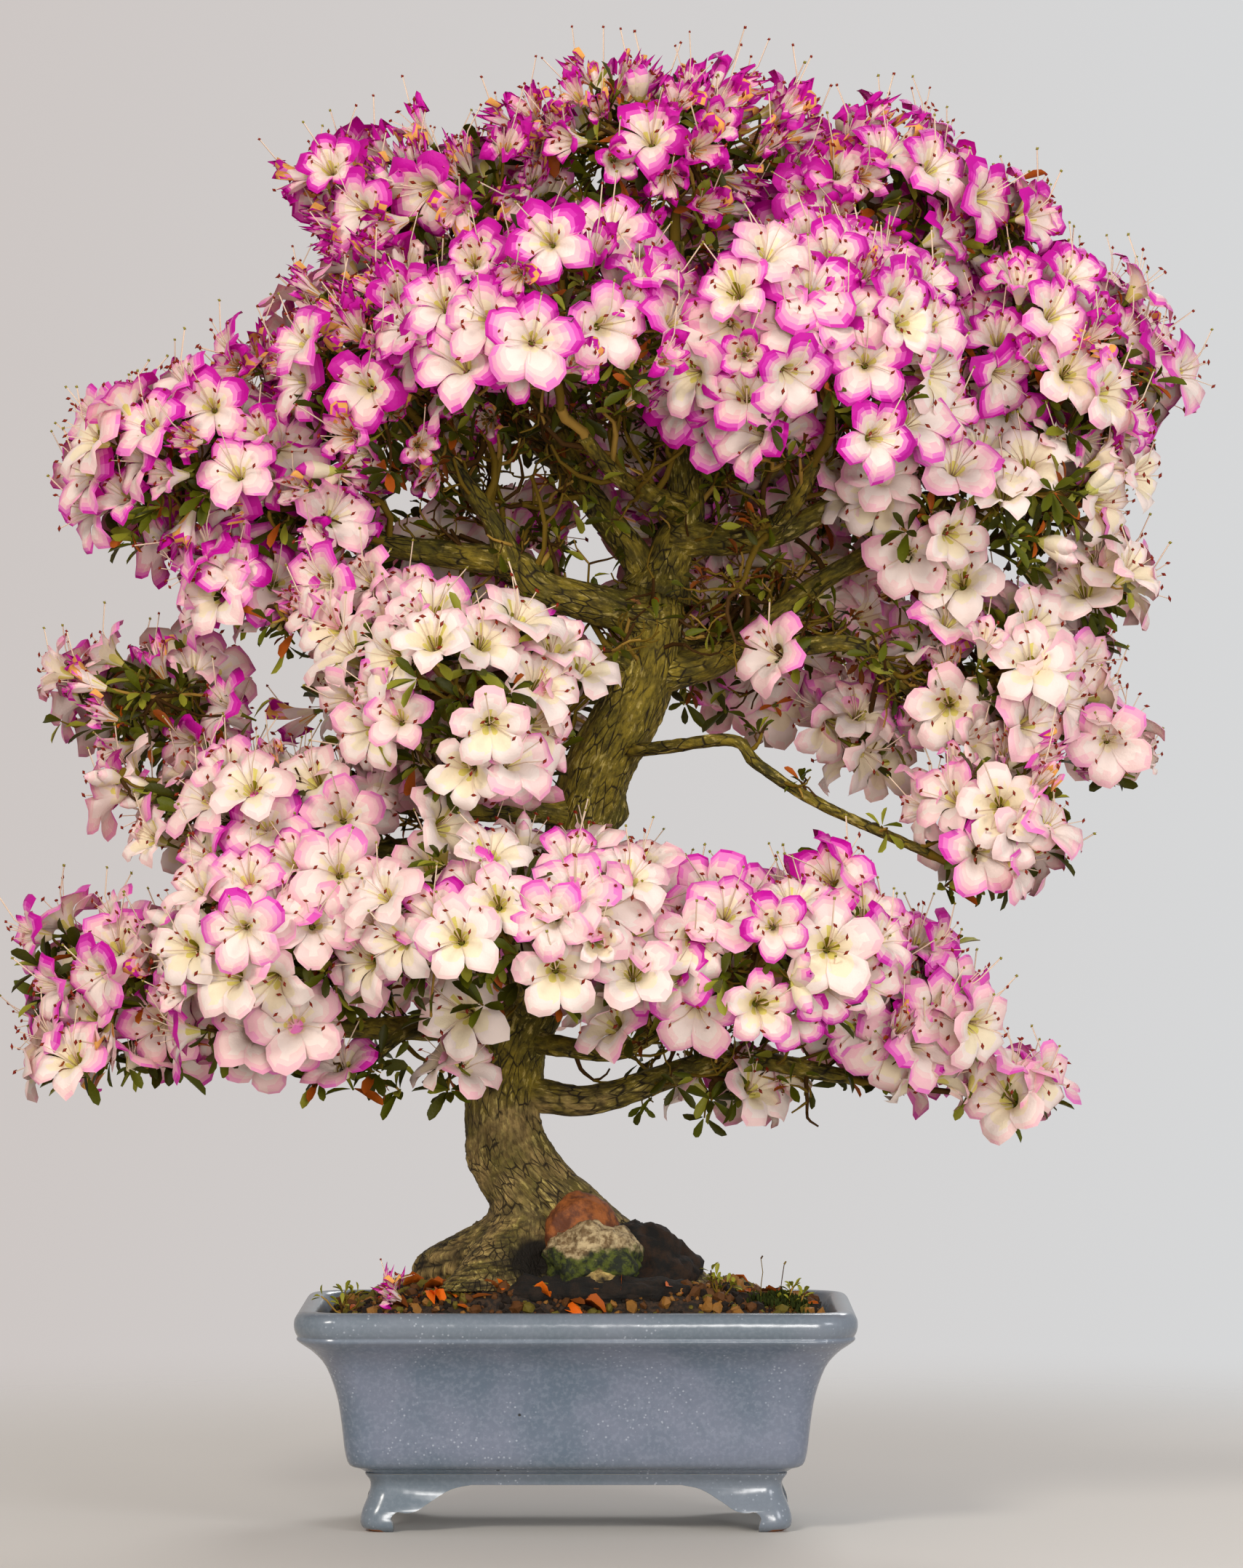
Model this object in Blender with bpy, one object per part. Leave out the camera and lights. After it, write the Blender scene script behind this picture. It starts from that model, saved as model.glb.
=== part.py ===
"""An azalea bonsai in full bloom, in its glazed pot.

Units are metres and +Z is up. The plant and the pot hang from one empty, and the pot's feet stand at
height 0. The crown is wider to the right than to the left, so the empty is moved to put the middle of the
whole at the origin.
"""

import math
import random
from dataclasses import dataclass

import bmesh
import bpy
import numpy as np
from mathutils import Matrix, Vector
from mathutils.noise import noise

# Where the pot's middle stands, so that the middle of the whole plant is at the origin.
STAND_AT = (-0.0118, -0.0064, 0.0)

# Meshes that touch keep this gap, and points this close become one.
GAP = 0.0003
WELD = 0.000005

# The pot: a rounded oblong with a rolled rim, flared sides, and a skirt cut into four scrolled feet.
RIM_HALF_WIDTH = 0.1514
RIM_HALF_DEPTH = 0.0914
RIM_CORNER = 0.024
CORNER_SHARE = 0.4
LEAST_CORNER = 0.010
POT_HEIGHT = 0.1205
POT_FLOOR_TOP = 0.041
POT_CORNER_STEPS = 3
SKIRT_TOP = 0.0330
SKIRT_EDGE = 0.0252
SKIRT_WALL = 0.0135
FOOT_HALF_WIDTH = 0.1165
FOOT_RUN_WIDTH = 0.0600
FOOT_RUN_DEPTH = 0.0400
DRAIN_SIDES = 12
DRAIN_RADIUS = 0.009
DRAIN_LENGTH = 0.05
DRAIN_OFFSET = 0.070

# The soil: level under the trunk, falling to just below the rim.
GROUND = 0.1300
SOIL_EDGE = 0.1150
SOIL_INSET = 0.0165
SOIL_CLEARANCE = 0.0005
SOIL_CORNER_GROWTH = 0.035
SOIL_LEVEL_HALF_WIDTH = 0.090
SOIL_LEVEL_HALF_DEPTH = 0.064

# Up the pot's inner wall, from its floor to under the soil's edge: inset from the rim, and height.
INNER_WALL = (
    (0.0400, POT_FLOOR_TOP),
    (0.0355, POT_FLOOR_TOP + 0.004),
    (0.0330, 0.0700),
    (0.0290, 0.0930),
    (0.0170, 0.1060),
)

# The trunk: its middle line and radius, from the flat cut at the ground to the fork.
TRUNK_SIDES = 16
TRUNK_STATIONS = (
    (-0.012, 0.000, 0.1303, 0.0640),
    (-0.012, 0.000, 0.1420, 0.0560),
    (-0.013, 0.000, 0.1560, 0.0450),
    (-0.014, 0.000, 0.1700, 0.0328),
    (-0.0235, 0.001, 0.1840, 0.0300),
    (-0.0345, 0.002, 0.1980, 0.0255),
    (-0.0392, 0.004, 0.2130, 0.0215),
    (-0.041, 0.006, 0.2320, 0.0198),
    (-0.036, 0.010, 0.2580, 0.0192),
    (-0.024, 0.012, 0.2850, 0.0190),
    (-0.012, 0.012, 0.3140, 0.0188),
    (-0.003, 0.010, 0.3520, 0.0186),
    (0.004, 0.008, 0.3880, 0.0188),
    (0.014, 0.006, 0.4160, 0.0184),
    (0.029, 0.004, 0.4440, 0.0180),
    (0.038, 0.002, 0.4680, 0.0172),
    (0.042, 0.000, 0.4940, 0.0160),
    (0.043, 0.000, 0.5140, 0.0146),
)
# Its rings lie level up to this height, and over the next run they tilt square to the middle line.
LEVEL_BELOW = 0.190
LEVEL_RUN = 0.05
ROOT_COUNT = 6
ROOT_TURNS = (0.6, 2.1)
ROOT_TOP = 0.190
ROOT_SWELL = 0.20
ROOT_SWELL_POWER = 1.3
ROOT_WIDEN = 0.18
ROOT_FLATTEN = 0.12
TAPER_POWER = 0.75

# Blossoms and leaves, a little larger than life because there are fewer of them.
BLOSSOM_RADIUS = 0.0300
BLOSSOM_LENGTH = 0.027
BLOSSOM_SPACING = 0.0535
NOTCH_SHARE = 0.80
NOTCH_DROP = 0.002
THROAT_SHARE = 0.42
LEAF_LENGTH = 0.030
LEAF_THICKNESS = 0.0012
LEAF_SPREAD = 0.36
LEAF_WIDEST_SHARE = 0.55
LEAF_MEETING_SHARE = 0.08
LEAF_RISE = 0.45
STALK_RADIUS = 0.0016
STALK_ROOT_SHARE = 0.65
SPRAY_EVERY = 3
CLOSEST_SHARE = 1.66

# The twigs: a stem, side twigs to evenly spread knots, and a stalk to each tip.
STEM_SIDES = 5
STEM_BEND_SHARE = 0.35
STEM_TAPER = 0.8
STEM_STEPS = 5
TWIG_RADIUS = 0.0026
TWIG_END_RADIUS = 0.0022
TWIG_OVERRUN = 0.002
TWIG_LIFT = 0.0004
ROOT_JITTER = 0.0014
CROWN_MIDDLE_X = 0.012
OVER_TRUNK_SHARE = 0.6
UPWARD_LEAN = 0.15
KNOT_SHARE = 0.48
KNOTS_LOWEST = -0.2
TIPS_A_KNOT = 5
FEWEST_KNOTS = 3
UNDERSIDE = -0.40
INWARD = -0.35
MOUTH_SHARES = (1.0, 0.9, 0.8)
FURTHEST_SHARE = 1.28

# The dense middle of a mass, and how far its pieces keep from other masses and from limbs.
CORE_SHARE = 0.55
CORE_LEAST_SHARE = 0.25
CORE_STEP = 0.06
CORE_LUMP = 0.16
CORE_LUMP_SCALE = 1.7
SPACE_MARGIN = 0.022
LIMB_CLEARANCE = 0.0010
TRUNK_WIDEST = 1.2


@dataclass(frozen=True)
class Bough:
    """A tapering limb: what it grows from, its radius at both ends, and points that it passes through."""

    name: str
    grows_from: str
    thick: float
    thin: float
    through: tuple


@dataclass(frozen=True)
class Mass:
    """A mass of blossom and leaves: the bough that carries it, its middle, and its reach each way."""

    name: str
    bough: str
    middle: tuple
    reach: tuple
    seed: int = 1


BOUGHS = (
    Bough("leader_right", "trunk", 0.0134, 0.005, (
        (0.0432, 0, 0.508), (0.052, 0, 0.532), (0.06, 0, 0.552), (0.057, 0, 0.592), (0.053, 0, 0.64),
        (0.054, 0, 0.7))),
    Bough("leader_left", "trunk", 0.0105, 0.0042, (
        (0.042, 0, 0.5), (0.031, 0, 0.529), (0.003, 0.01, 0.567), (-0.022, 0.018, 0.62),
        (-0.04, 0.02, 0.672))),
    Bough("bough_right_upper", "leader_right", 0.0092, 0.004, (
        (0.055, 0, 0.539), (0.086, -0.01, 0.536), (0.112, -0.018, 0.541), (0.142, -0.02, 0.557),
        (0.19, -0.018, 0.59))),
    Bough("branch_right_top", "leader_right", 0.0078, 0.0036, (
        (0.059, 0, 0.575), (0.083, 0.02, 0.592), (0.111, 0.03, 0.632), (0.135, 0.028, 0.674))),
    Bough("branch_right_front", "bough_right_upper", 0.0058, 0.0034, (
        (0.104, -0.016, 0.54), (0.117, -0.042, 0.553), (0.128, -0.066, 0.575))),
    Bough("branch_front", "leader_right", 0.0066, 0.0036, (
        (0.06, 0, 0.554), (0.043, -0.02, 0.56), (0.022, -0.048, 0.57), (0.004, -0.072, 0.59))),
    Bough("bough_left_upper", "trunk", 0.0128, 0.005, (
        (0.041, 0.001, 0.494), (0.023, -0.01, 0.498), (-0.019, -0.025, 0.51), (-0.035, -0.02, 0.523),
        (-0.093, -0.01, 0.532), (-0.152, 0, 0.548))),
    Bough("branch_left_shoulder", "bough_left_upper", 0.0068, 0.0036, (
        (-0.036, -0.02, 0.523), (-0.046, -0.03, 0.547), (-0.078, -0.03, 0.59))),
    Bough("branch_left_front", "trunk", 0.0066, 0.0036, (
        (0.036, 0.002, 0.466), (0.012, -0.02, 0.474), (-0.012, -0.042, 0.472),
        (-0.034, -0.062, 0.464))),
    Bough("bough_right_middle", "trunk", 0.0112, 0.0042, (
        (0.038, 0.002, 0.464), (0.067, 0, 0.468), (0.087, 0, 0.478), (0.128, -0.01, 0.51),
        (0.166, -0.016, 0.534))),
    Bough("branch_right_arching", "bough_right_middle", 0.0068, 0.0036, (
        (0.086, 0, 0.477), (0.108, -0.02, 0.477), (0.15, -0.031, 0.479), (0.17, -0.03, 0.464),
        (0.186, -0.024, 0.451))),
    Bough("branch_right_hanging", "trunk", 0.0042, 0.0026, (
        (0.016, 0.005, 0.421), (0.045, -0.022, 0.423), (0.085, -0.042, 0.427), (0.098, -0.046, 0.414),
        (0.131, -0.05, 0.393), (0.19, -0.05, 0.366))),
    Bough("bough_left_middle", "trunk", 0.0088, 0.0042, (
        (0.003, 0.008, 0.386), (-0.021, -0.01, 0.389), (-0.053, -0.02, 0.389),
        (-0.104, -0.022, 0.392))),
    Bough("bough_left_rising", "trunk", 0.0086, 0.0036, (
        (-0.011, 0.012, 0.314), (-0.037, 0.01, 0.333), (-0.077, 0.012, 0.366), (-0.122, 0.02, 0.367),
        (-0.176, 0.026, 0.372), (-0.204, 0.026, 0.41))),
    Bough("bough_left_lower", "trunk", 0.0092, 0.0042, (
        (-0.037, 0.009, 0.256), (-0.061, 0, 0.269), (-0.119, 0, 0.27), (-0.192, 0, 0.275))),
    Bough("branch_left_hooked", "bough_left_lower", 0.0046, 0.003, (
        (-0.07, 0, 0.27), (-0.092, -0.022, 0.269), (-0.11, -0.038, 0.256), (-0.125, -0.05, 0.254),
        (-0.138, -0.056, 0.269))),
    Bough("branch_lower_front", "trunk", 0.0072, 0.0038, (
        (-0.028, 0.011, 0.276), (-0.03, -0.03, 0.288), (-0.033, -0.07, 0.302))),
    Bough("bough_right_lower", "trunk", 0.0108, 0.0042, (
        (-0.041, 0.007, 0.237), (-0.013, 0, 0.232), (0.015, 0, 0.232), (0.083, 0, 0.252),
        (0.15, 0, 0.243))),
    Bough("branch_right_lower_front", "trunk", 0.0072, 0.0036, (
        (-0.034, 0.01, 0.264), (-0.005, -0.012, 0.26), (0.023, -0.024, 0.258), (0.056, -0.044, 0.276))),
    Bough("branch_back_left", "leader_left", 0.0066, 0.0038, (
        (0.002, 0.011, 0.569), (-0.02, 0.045, 0.59), (-0.046, 0.074, 0.62))),
    Bough("branch_back_right", "leader_right", 0.007, 0.0038, (
        (0.059, 0, 0.562), (0.074, 0.036, 0.576), (0.092, 0.07, 0.606))),
    Bough("branch_back_middle_right", "trunk", 0.0066, 0.0038, (
        (0.041, 0.001, 0.482), (0.06, 0.036, 0.479), (0.08, 0.07, 0.482))),
    Bough("branch_back_middle_left", "trunk", 0.0068, 0.0038, (
        (0.008, 0.007, 0.402), (-0.01, 0.045, 0.416), (-0.034, 0.078, 0.432))),
    Bough("branch_back_lower", "trunk", 0.0074, 0.004, (
        (-0.02, 0.012, 0.296), (-0.012, 0.046, 0.302), (-0.014, 0.072, 0.309))),
)

MASSES = (
    Mass("mass_apex", "leader_right", (0.050, 0.000, 0.750), (0.086, 0.088, 0.056), 7),
    Mass("mass_right_top", "branch_right_top", (0.156, 0.020, 0.728), (0.072, 0.085, 0.060), 6),
    Mass("mass_left_top", "leader_left", (-0.074, 0.010, 0.724), (0.090, 0.088, 0.056), 5),
    Mass("mass_front_centre", "branch_front", (-0.012, -0.115, 0.642), (0.088, 0.085, 0.066), 2),
    Mass("mass_right_front", "branch_right_front", (0.130, -0.110, 0.634), (0.082, 0.085, 0.076), 2),
    Mass("mass_right_outer", "bough_right_upper", (0.258, -0.010, 0.640), (0.080, 0.090, 0.070), 4),
    Mass("mass_right_low", "bough_right_middle", (0.226, -0.030, 0.556), (0.088, 0.085, 0.050), 2),
    Mass("mass_left_shoulder", "branch_left_shoulder", (-0.122, -0.030, 0.640), (0.080, 0.090, 0.064), 1),
    Mass("mass_left_wing", "bough_left_upper", (-0.217, 0.000, 0.576), (0.080, 0.085, 0.056), 5),
    Mass("mass_back_left", "branch_back_left", (-0.080, 0.130, 0.655), (0.100, 0.085, 0.080), 7),
    Mass("mass_back_right", "branch_back_right", (0.112, 0.135, 0.655), (0.110, 0.085, 0.084), 5),
    Mass("mass_back_middle_right", "branch_back_middle_right", (0.101, 0.130, 0.490),
         (0.090, 0.080, 0.056), 3),
    Mass("mass_right_arching", "branch_right_arching", (0.246, 0.000, 0.464), (0.086, 0.085, 0.050), 4),
    Mass("mass_right_hanging", "branch_right_hanging", (0.226, -0.055, 0.388), (0.054, 0.055, 0.048), 2),
    Mass("mass_left_middle_front", "branch_left_front", (-0.067, -0.115, 0.453), (0.096, 0.085, 0.060), 7),
    Mass("mass_left_middle_outer", "bough_left_rising", (-0.236, 0.030, 0.462), (0.064, 0.070, 0.048), 5),
    Mass("mass_left_middle", "bough_left_middle", (-0.180, -0.045, 0.404), (0.094, 0.075, 0.044), 3),
    Mass("mass_left_lower_outer", "bough_left_lower", (-0.252, 0.000, 0.290), (0.066, 0.080, 0.056), 4),
    Mass("mass_left_lower_front", "branch_left_hooked", (-0.158, -0.080, 0.318), (0.074, 0.080, 0.060), 2),
    Mass("mass_lower_front", "branch_lower_front", (-0.032, -0.125, 0.332), (0.088, 0.080, 0.054), 1),
    Mass("mass_right_lower_front", "branch_right_lower_front", (0.099, -0.080, 0.310),
         (0.092, 0.090, 0.056), 2),
    Mass("mass_right_lower_outer", "bough_right_lower", (0.202, -0.010, 0.268), (0.074, 0.085, 0.054), 2),
    Mass("mass_back_lower", "branch_back_lower", (-0.020, 0.130, 0.330), (0.130, 0.080, 0.058), 5),
    Mass("mass_back_middle_left", "branch_back_middle_left", (-0.070, 0.135, 0.456),
         (0.096, 0.080, 0.058), 2),
)

# Colour, roughness and metallic value of each finish.
FINISHES = {
    "glaze": ((0.155, 0.215, 0.330), 0.22, 0.0),
    "soil": ((0.045, 0.032, 0.022), 0.95, 0.0),
    "bark": ((0.120, 0.105, 0.045), 0.85, 0.0),
    "blossom": ((0.820, 0.480, 0.690), 0.60, 0.0),
}


def finish(name):
    """The material of one finish, made the first time that it is asked for."""
    if name in bpy.data.materials:
        return bpy.data.materials[name]
    colour, roughness, metallic = FINISHES[name]
    material = bpy.data.materials.new(name)
    material.use_nodes = True
    shader = material.node_tree.nodes["Principled BSDF"]
    shader.inputs["Base Color"].default_value = (*colour, 1.0)
    shader.inputs["Roughness"].default_value = roughness
    shader.inputs["Metallic"].default_value = metallic
    material.diffuse_color = (*colour, 1.0)
    return material


def clear_scene():
    """Removes the objects of the startup scene."""
    for old in list(bpy.data.objects):
        bpy.data.objects.remove(old)


def new_collection(name):
    """A new collection, linked to the scene."""
    collection = bpy.data.collections.new(name)
    bpy.context.scene.collection.children.link(collection)
    return collection


def object_from(shape, name, collection):
    """An object holding a bmesh, which is freed."""
    mesh = bpy.data.meshes.new(name)
    bmesh.ops.recalc_face_normals(shape, faces=shape.faces)
    shape.to_mesh(mesh)
    shape.free()
    made = bpy.data.objects.new(name, mesh)
    collection.objects.link(made)
    return made


def dress(made, finish_name, stand, smooth=True):
    """Gives a part its finish and hangs it from the stand."""
    made.data.materials.clear()
    made.data.materials.append(finish(finish_name))
    if smooth:
        made.data.shade_smooth()
        made.data.set_sharp_from_angle(angle=math.radians(40))
    made.parent = stand


def cut(made, cutter, operation="DIFFERENCE"):
    """Cuts one mesh object by another, or joins them, and keeps the result as the object's mesh."""
    modifier = made.modifiers.new(operation.lower(), "BOOLEAN")
    modifier.operation = operation
    modifier.solver = "EXACT"
    modifier.object = cutter
    keep_evaluated(made)


def keep_evaluated(made):
    """Replaces an object's mesh by its evaluated one, and removes its modifiers."""
    bpy.context.view_layer.update()
    graph = bpy.context.evaluated_depsgraph_get()
    result = bpy.data.meshes.new_from_object(made.evaluated_get(graph))
    made.modifiers.clear()
    old = made.data
    made.data = result
    bpy.data.meshes.remove(old)


def smooth_path(points, steps):
    """A smooth path through the points, with the same number of steps between each two."""
    points = [Vector(p) for p in points]
    ends = [2 * points[0] - points[1], *points, 2 * points[-1] - points[-2]]
    path = []
    for before, start, end, after in zip(ends, ends[1:], ends[2:], ends[3:]):
        for step in range(steps):
            t = step / steps
            path.append(
                0.5 * (2 * start + (end - before) * t + (2 * before - 5 * start + 4 * end - after) * t**2
                       + (3 * start - before - 3 * end + after) * t**3)
            )
    return [*path, points[-1]]


def loft(rings):
    """A closed bmesh through rings of points that are in step, with a face over each end."""
    shape = bmesh.new()
    rows = [[shape.verts.new(p) for p in ring] for ring in rings]
    for low, high in zip(rows, rows[1:]):
        for i in range(len(low)):
            shape.faces.new((low[i - 1], low[i], high[i], high[i - 1]))
    shape.faces.new(rows[0])
    shape.faces.new(rows[-1])
    return shape


# The pot and its soil

def oblong(half_width, half_depth, corner, height):
    """A rounded oblong in plan, as a ring of points."""
    ring = []
    for quarter in range(4):
        middle_x = (half_width - corner) * (1 if quarter in (0, 3) else -1)
        middle_y = (half_depth - corner) * (1 if quarter in (0, 1) else -1)
        for step in range(POT_CORNER_STEPS + 1):
            angle = math.pi / 2 * (quarter + step / POT_CORNER_STEPS)
            ring.append((middle_x + corner * math.cos(angle), middle_y + corner * math.sin(angle), height))
    return ring


def inset_oblong(inset, height):
    """The rim's oblong drawn in all round."""
    corner = max(RIM_CORNER - CORNER_SHARE * inset, LEAST_CORNER)
    return oblong(RIM_HALF_WIDTH - inset, RIM_HALF_DEPTH - inset, corner, height)


def pot_rings():
    """Rings up the outside of the pot, over its rolled rim and down the inside, as inset and height."""
    outside = (
        (0.0460, SKIRT_TOP - 0.006), (0.0375, SKIRT_TOP - 0.001), (0.0345, SKIRT_TOP + 0.001),
        (0.0290, 0.0362), (0.0266, 0.0440), (0.0250, 0.0580), (0.0224, 0.0740), (0.0170, 0.0895),
        (0.0104, 0.0978), (0.0046, 0.1022), (0.0012, 0.1050), (0.0030, 0.1068),
    )
    rim = (
        (0.0010, 0.1086), (0.0, 0.1118), (0.0003, 0.1160), (0.0026, 0.1194), (0.0060, POT_HEIGHT),
        (0.0100, 0.1196),
    )
    inside = ((0.0125, 0.1150), *reversed(INNER_WALL))
    return [inset_oblong(*ring) for ring in outside + rim + inside]


def foot_opening(half_span, foot_run, name, helpers):
    """The space between two feet, seen square on: straight under the skirt, then down over each scroll."""
    scroll = (
        (1.00, SKIRT_EDGE), (0.82, 0.0228), (0.64, 0.0165), (0.52, 0.0118), (0.42, 0.0104), (0.33, 0.0108),
        (0.28, 0.0075), (0.30, 0.0030), (0.30, -0.0050),
    )
    half = [(half_span - foot_run * share, height) for share, height in scroll]
    outline = bpy.data.curves.new(name, "CURVE")
    outline.dimensions = "2D"
    outline.fill_mode = "BOTH"
    outline.extrude = RIM_HALF_WIDTH
    spline = outline.splines.new("POLY")
    points = half + [(-x, z) for x, z in reversed(half)]
    spline.points.add(len(points) - 1)
    for point, (x, z) in zip(spline.points, points):
        point.co = (x, z, 0, 1)
    spline.use_cyclic_u = True
    drawn = bpy.data.objects.new(name + "_outline", outline)
    helpers.objects.link(drawn)
    drawn.matrix_world = Matrix.Rotation(math.pi / 2, 4, "X")
    return mesh_of_curve(drawn, name, helpers)


def mesh_of_curve(drawn, name, collection):
    """A curve object made a mesh object with its caps welded, and the curve removed."""
    bpy.context.view_layer.update()
    graph = bpy.context.evaluated_depsgraph_get()
    mesh = bpy.data.meshes.new_from_object(drawn.evaluated_get(graph))
    mesh.name = name
    shape = bmesh.new()
    shape.from_mesh(mesh)
    bmesh.ops.remove_doubles(shape, verts=shape.verts, dist=1e-6)
    bmesh.ops.recalc_face_normals(shape, faces=shape.faces)
    shape.to_mesh(mesh)
    shape.free()
    made = bpy.data.objects.new(name, mesh)
    made.matrix_world = drawn.matrix_world
    collection.objects.link(made)
    bpy.data.objects.remove(drawn)
    return made


def make_helper(made):
    """Hides a cutter or a guide from the render."""
    made.hide_render = True
    made.display_type = "WIRE"
    return made


def build_pot(parts, helpers, stand):
    """The pot: a shell with a rolled rim on a skirt with four scrolled feet, and two drainage holes."""
    pot = object_from(loft(pot_rings()), "pot", parts)
    inset = RIM_HALF_WIDTH - FOOT_HALF_WIDTH
    skirt_rings = ((0.0045, 0.0), (0.0010, 0.0022), (0.0, 0.0060), (0.0012, 0.0120), (0.0045, 0.0200),
                   (0.0052, 0.0262), (0.0030, 0.0300), (0.0028, SKIRT_TOP - 0.0012), (0.0080, SKIRT_TOP))
    skirt = object_from(loft([inset_oblong(inset + draw, z) for draw, z in skirt_rings]), "skirt", helpers)
    hollow_inset = inset + SKIRT_WALL
    hollow = loft([inset_oblong(hollow_inset, -0.01), inset_oblong(hollow_inset, SKIRT_TOP - 0.0045)])
    openings = [object_from(hollow, "skirt_hollow", helpers)]
    openings.append(foot_opening(FOOT_HALF_WIDTH, FOOT_RUN_WIDTH, "front_opening", helpers))
    foot_half_depth = RIM_HALF_DEPTH - inset
    across = foot_opening(foot_half_depth, FOOT_RUN_DEPTH, "side_opening", helpers)
    across.matrix_world = Matrix.Rotation(math.pi / 2, 4, "Z") @ across.matrix_world
    openings.append(across)
    for opening in openings:
        cut(skirt, opening)
    cut(pot, skirt, "UNION")
    for side in (-1, 1):
        drain = bmesh.new()
        place = Matrix.Translation((side * DRAIN_OFFSET, 0, POT_FLOOR_TOP - 0.01))
        bmesh.ops.create_cone(drain, cap_ends=True, segments=DRAIN_SIDES, radius1=DRAIN_RADIUS,
                              radius2=DRAIN_RADIUS, depth=DRAIN_LENGTH, matrix=place)
        openings.append(object_from(drain, "drain", helpers))
        cut(pot, openings[-1])
    for helper in [skirt, *openings]:
        make_helper(helper)
    dress(pot, "glaze", stand)
    return pot


def build_soil(parts, stand):
    """The soil: it fills the pot a little clear of its wall, and rises to a level middle under the trunk."""
    filled = (*INNER_WALL, (0.0135, SOIL_EDGE - 0.0015))
    rings = [inset_oblong(inset + SOIL_CLEARANCE, z + SOIL_CLEARANCE) for inset, z in filled]
    mounded = ((0.0, SOIL_EDGE), (0.35, SOIL_EDGE + 0.0060), (0.72, GROUND - 0.0025), (1.0, GROUND))
    edge_width = RIM_HALF_WIDTH - SOIL_INSET
    edge_depth = RIM_HALF_DEPTH - SOIL_INSET
    for share, height in mounded:
        half_width = edge_width + share * (SOIL_LEVEL_HALF_WIDTH - edge_width)
        half_depth = edge_depth + share * (SOIL_LEVEL_HALF_DEPTH - edge_depth)
        rings.append(oblong(half_width, half_depth, RIM_CORNER + share * SOIL_CORNER_GROWTH, height))
    soil = object_from(loft(rings), "soil", parts)
    dress(soil, "soil", stand)
    return soil


# The trunk and boughs

def root_swell(angle, height):
    """How far a root stands out of the trunk at this angle, as a share of the radius."""
    low = max(0.0, (ROOT_TOP - height) / (ROOT_TOP - GROUND))
    wave = math.cos(ROOT_COUNT * angle + ROOT_TURNS[0])
    wave += 0.5 * math.cos((ROOT_COUNT - 2) * angle + ROOT_TURNS[1])
    return 1 + ROOT_SWELL * low**ROOT_SWELL_POWER * wave


def trunk_rings(extra=0.0):
    """Rings of the trunk, square to its middle line but level low down. Extra widens it all over."""
    path = smooth_path([s[:3] for s in TRUNK_STATIONS], 2)
    radii = [r.x for r in smooth_path([(s[3], 0, 0) for s in TRUNK_STATIONS], 2)]
    rings = []
    for i, (middle, radius) in enumerate(zip(path, radii)):
        along = (path[min(i + 1, len(path) - 1)] - path[max(i - 1, 0)]).normalized()
        leant = min(1.0, max(0.0, (middle.z - LEVEL_BELOW) / LEVEL_RUN))
        along = Vector((0, 0, 1)).lerp(along, leant).normalized()
        across = Vector((1, 0, 0)) - along * along.x
        across.normalize()
        back = along.cross(across)
        low = max(0.0, (ROOT_TOP - middle.z) / (ROOT_TOP - GROUND))
        ring = []
        for step in range(TRUNK_SIDES):
            angle = 2 * math.pi * step / TRUNK_SIDES
            size = radius * root_swell(angle, middle.z) + extra
            wide = size * (1 + ROOT_WIDEN * low) * math.cos(angle)
            deep = size * (1 - ROOT_FLATTEN * low) * math.sin(angle)
            ring.append(middle + across * wide + back * deep)
        rings.append(ring)
    if extra:
        rings[-1] = [p + along * extra for p in rings[-1]]
    return rings


def limb_path(bough):
    """Points and radii along a bough, evenly tapered."""
    path = smooth_path(bough.through, 2)
    lengths = [0.0]
    for a, b in zip(path, path[1:]):
        lengths.append(lengths[-1] + (b - a).length)
    shares = [(at / lengths[-1]) ** TAPER_POWER for at in lengths]
    return path, [bough.thick + (bough.thin - bough.thick) * share for share in shares]


def limb_mesh(name, path, radii, collection):
    """A bough as a mesh: a curve object with a radius at each point and filled caps, welded."""
    drawn_curve = bpy.data.curves.new(name, "CURVE")
    drawn_curve.dimensions = "3D"
    drawn_curve.bevel_depth = 1.0
    drawn_curve.bevel_resolution = 1
    drawn_curve.use_fill_caps = True
    spline = drawn_curve.splines.new("POLY")
    spline.points.add(len(path) - 1)
    for point, place, radius in zip(spline.points, path, radii):
        point.co = (*place, 1)
        point.radius = radius
    drawn = bpy.data.objects.new(name + "_line", drawn_curve)
    collection.objects.link(drawn)
    return mesh_of_curve(drawn, name, collection)


def build_limbs(parts, helpers, stand):
    """The trunk and every bough, each cut a gap clear of the limb that it grows from."""
    wider = {"trunk": make_helper(object_from(loft(trunk_rings(GAP)), "trunk_clearance", helpers))}
    trunk = object_from(loft(trunk_rings()), "trunk", parts)
    dress(trunk, "bark", stand)
    for bough in BOUGHS:
        path, radii = limb_path(bough)
        made = limb_mesh(bough.name, path, radii, parts)
        wide_radii = [r + GAP for r in radii]
        wider[bough.name] = make_helper(limb_mesh(bough.name + "_clearance", path, wide_radii, helpers))
        cut(made, wider[bough.grows_from])
        if bough.name == "leader_left":
            cut(made, wider["leader_right"])
        keep_largest(made)
        dress(made, "bark", stand)


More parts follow.
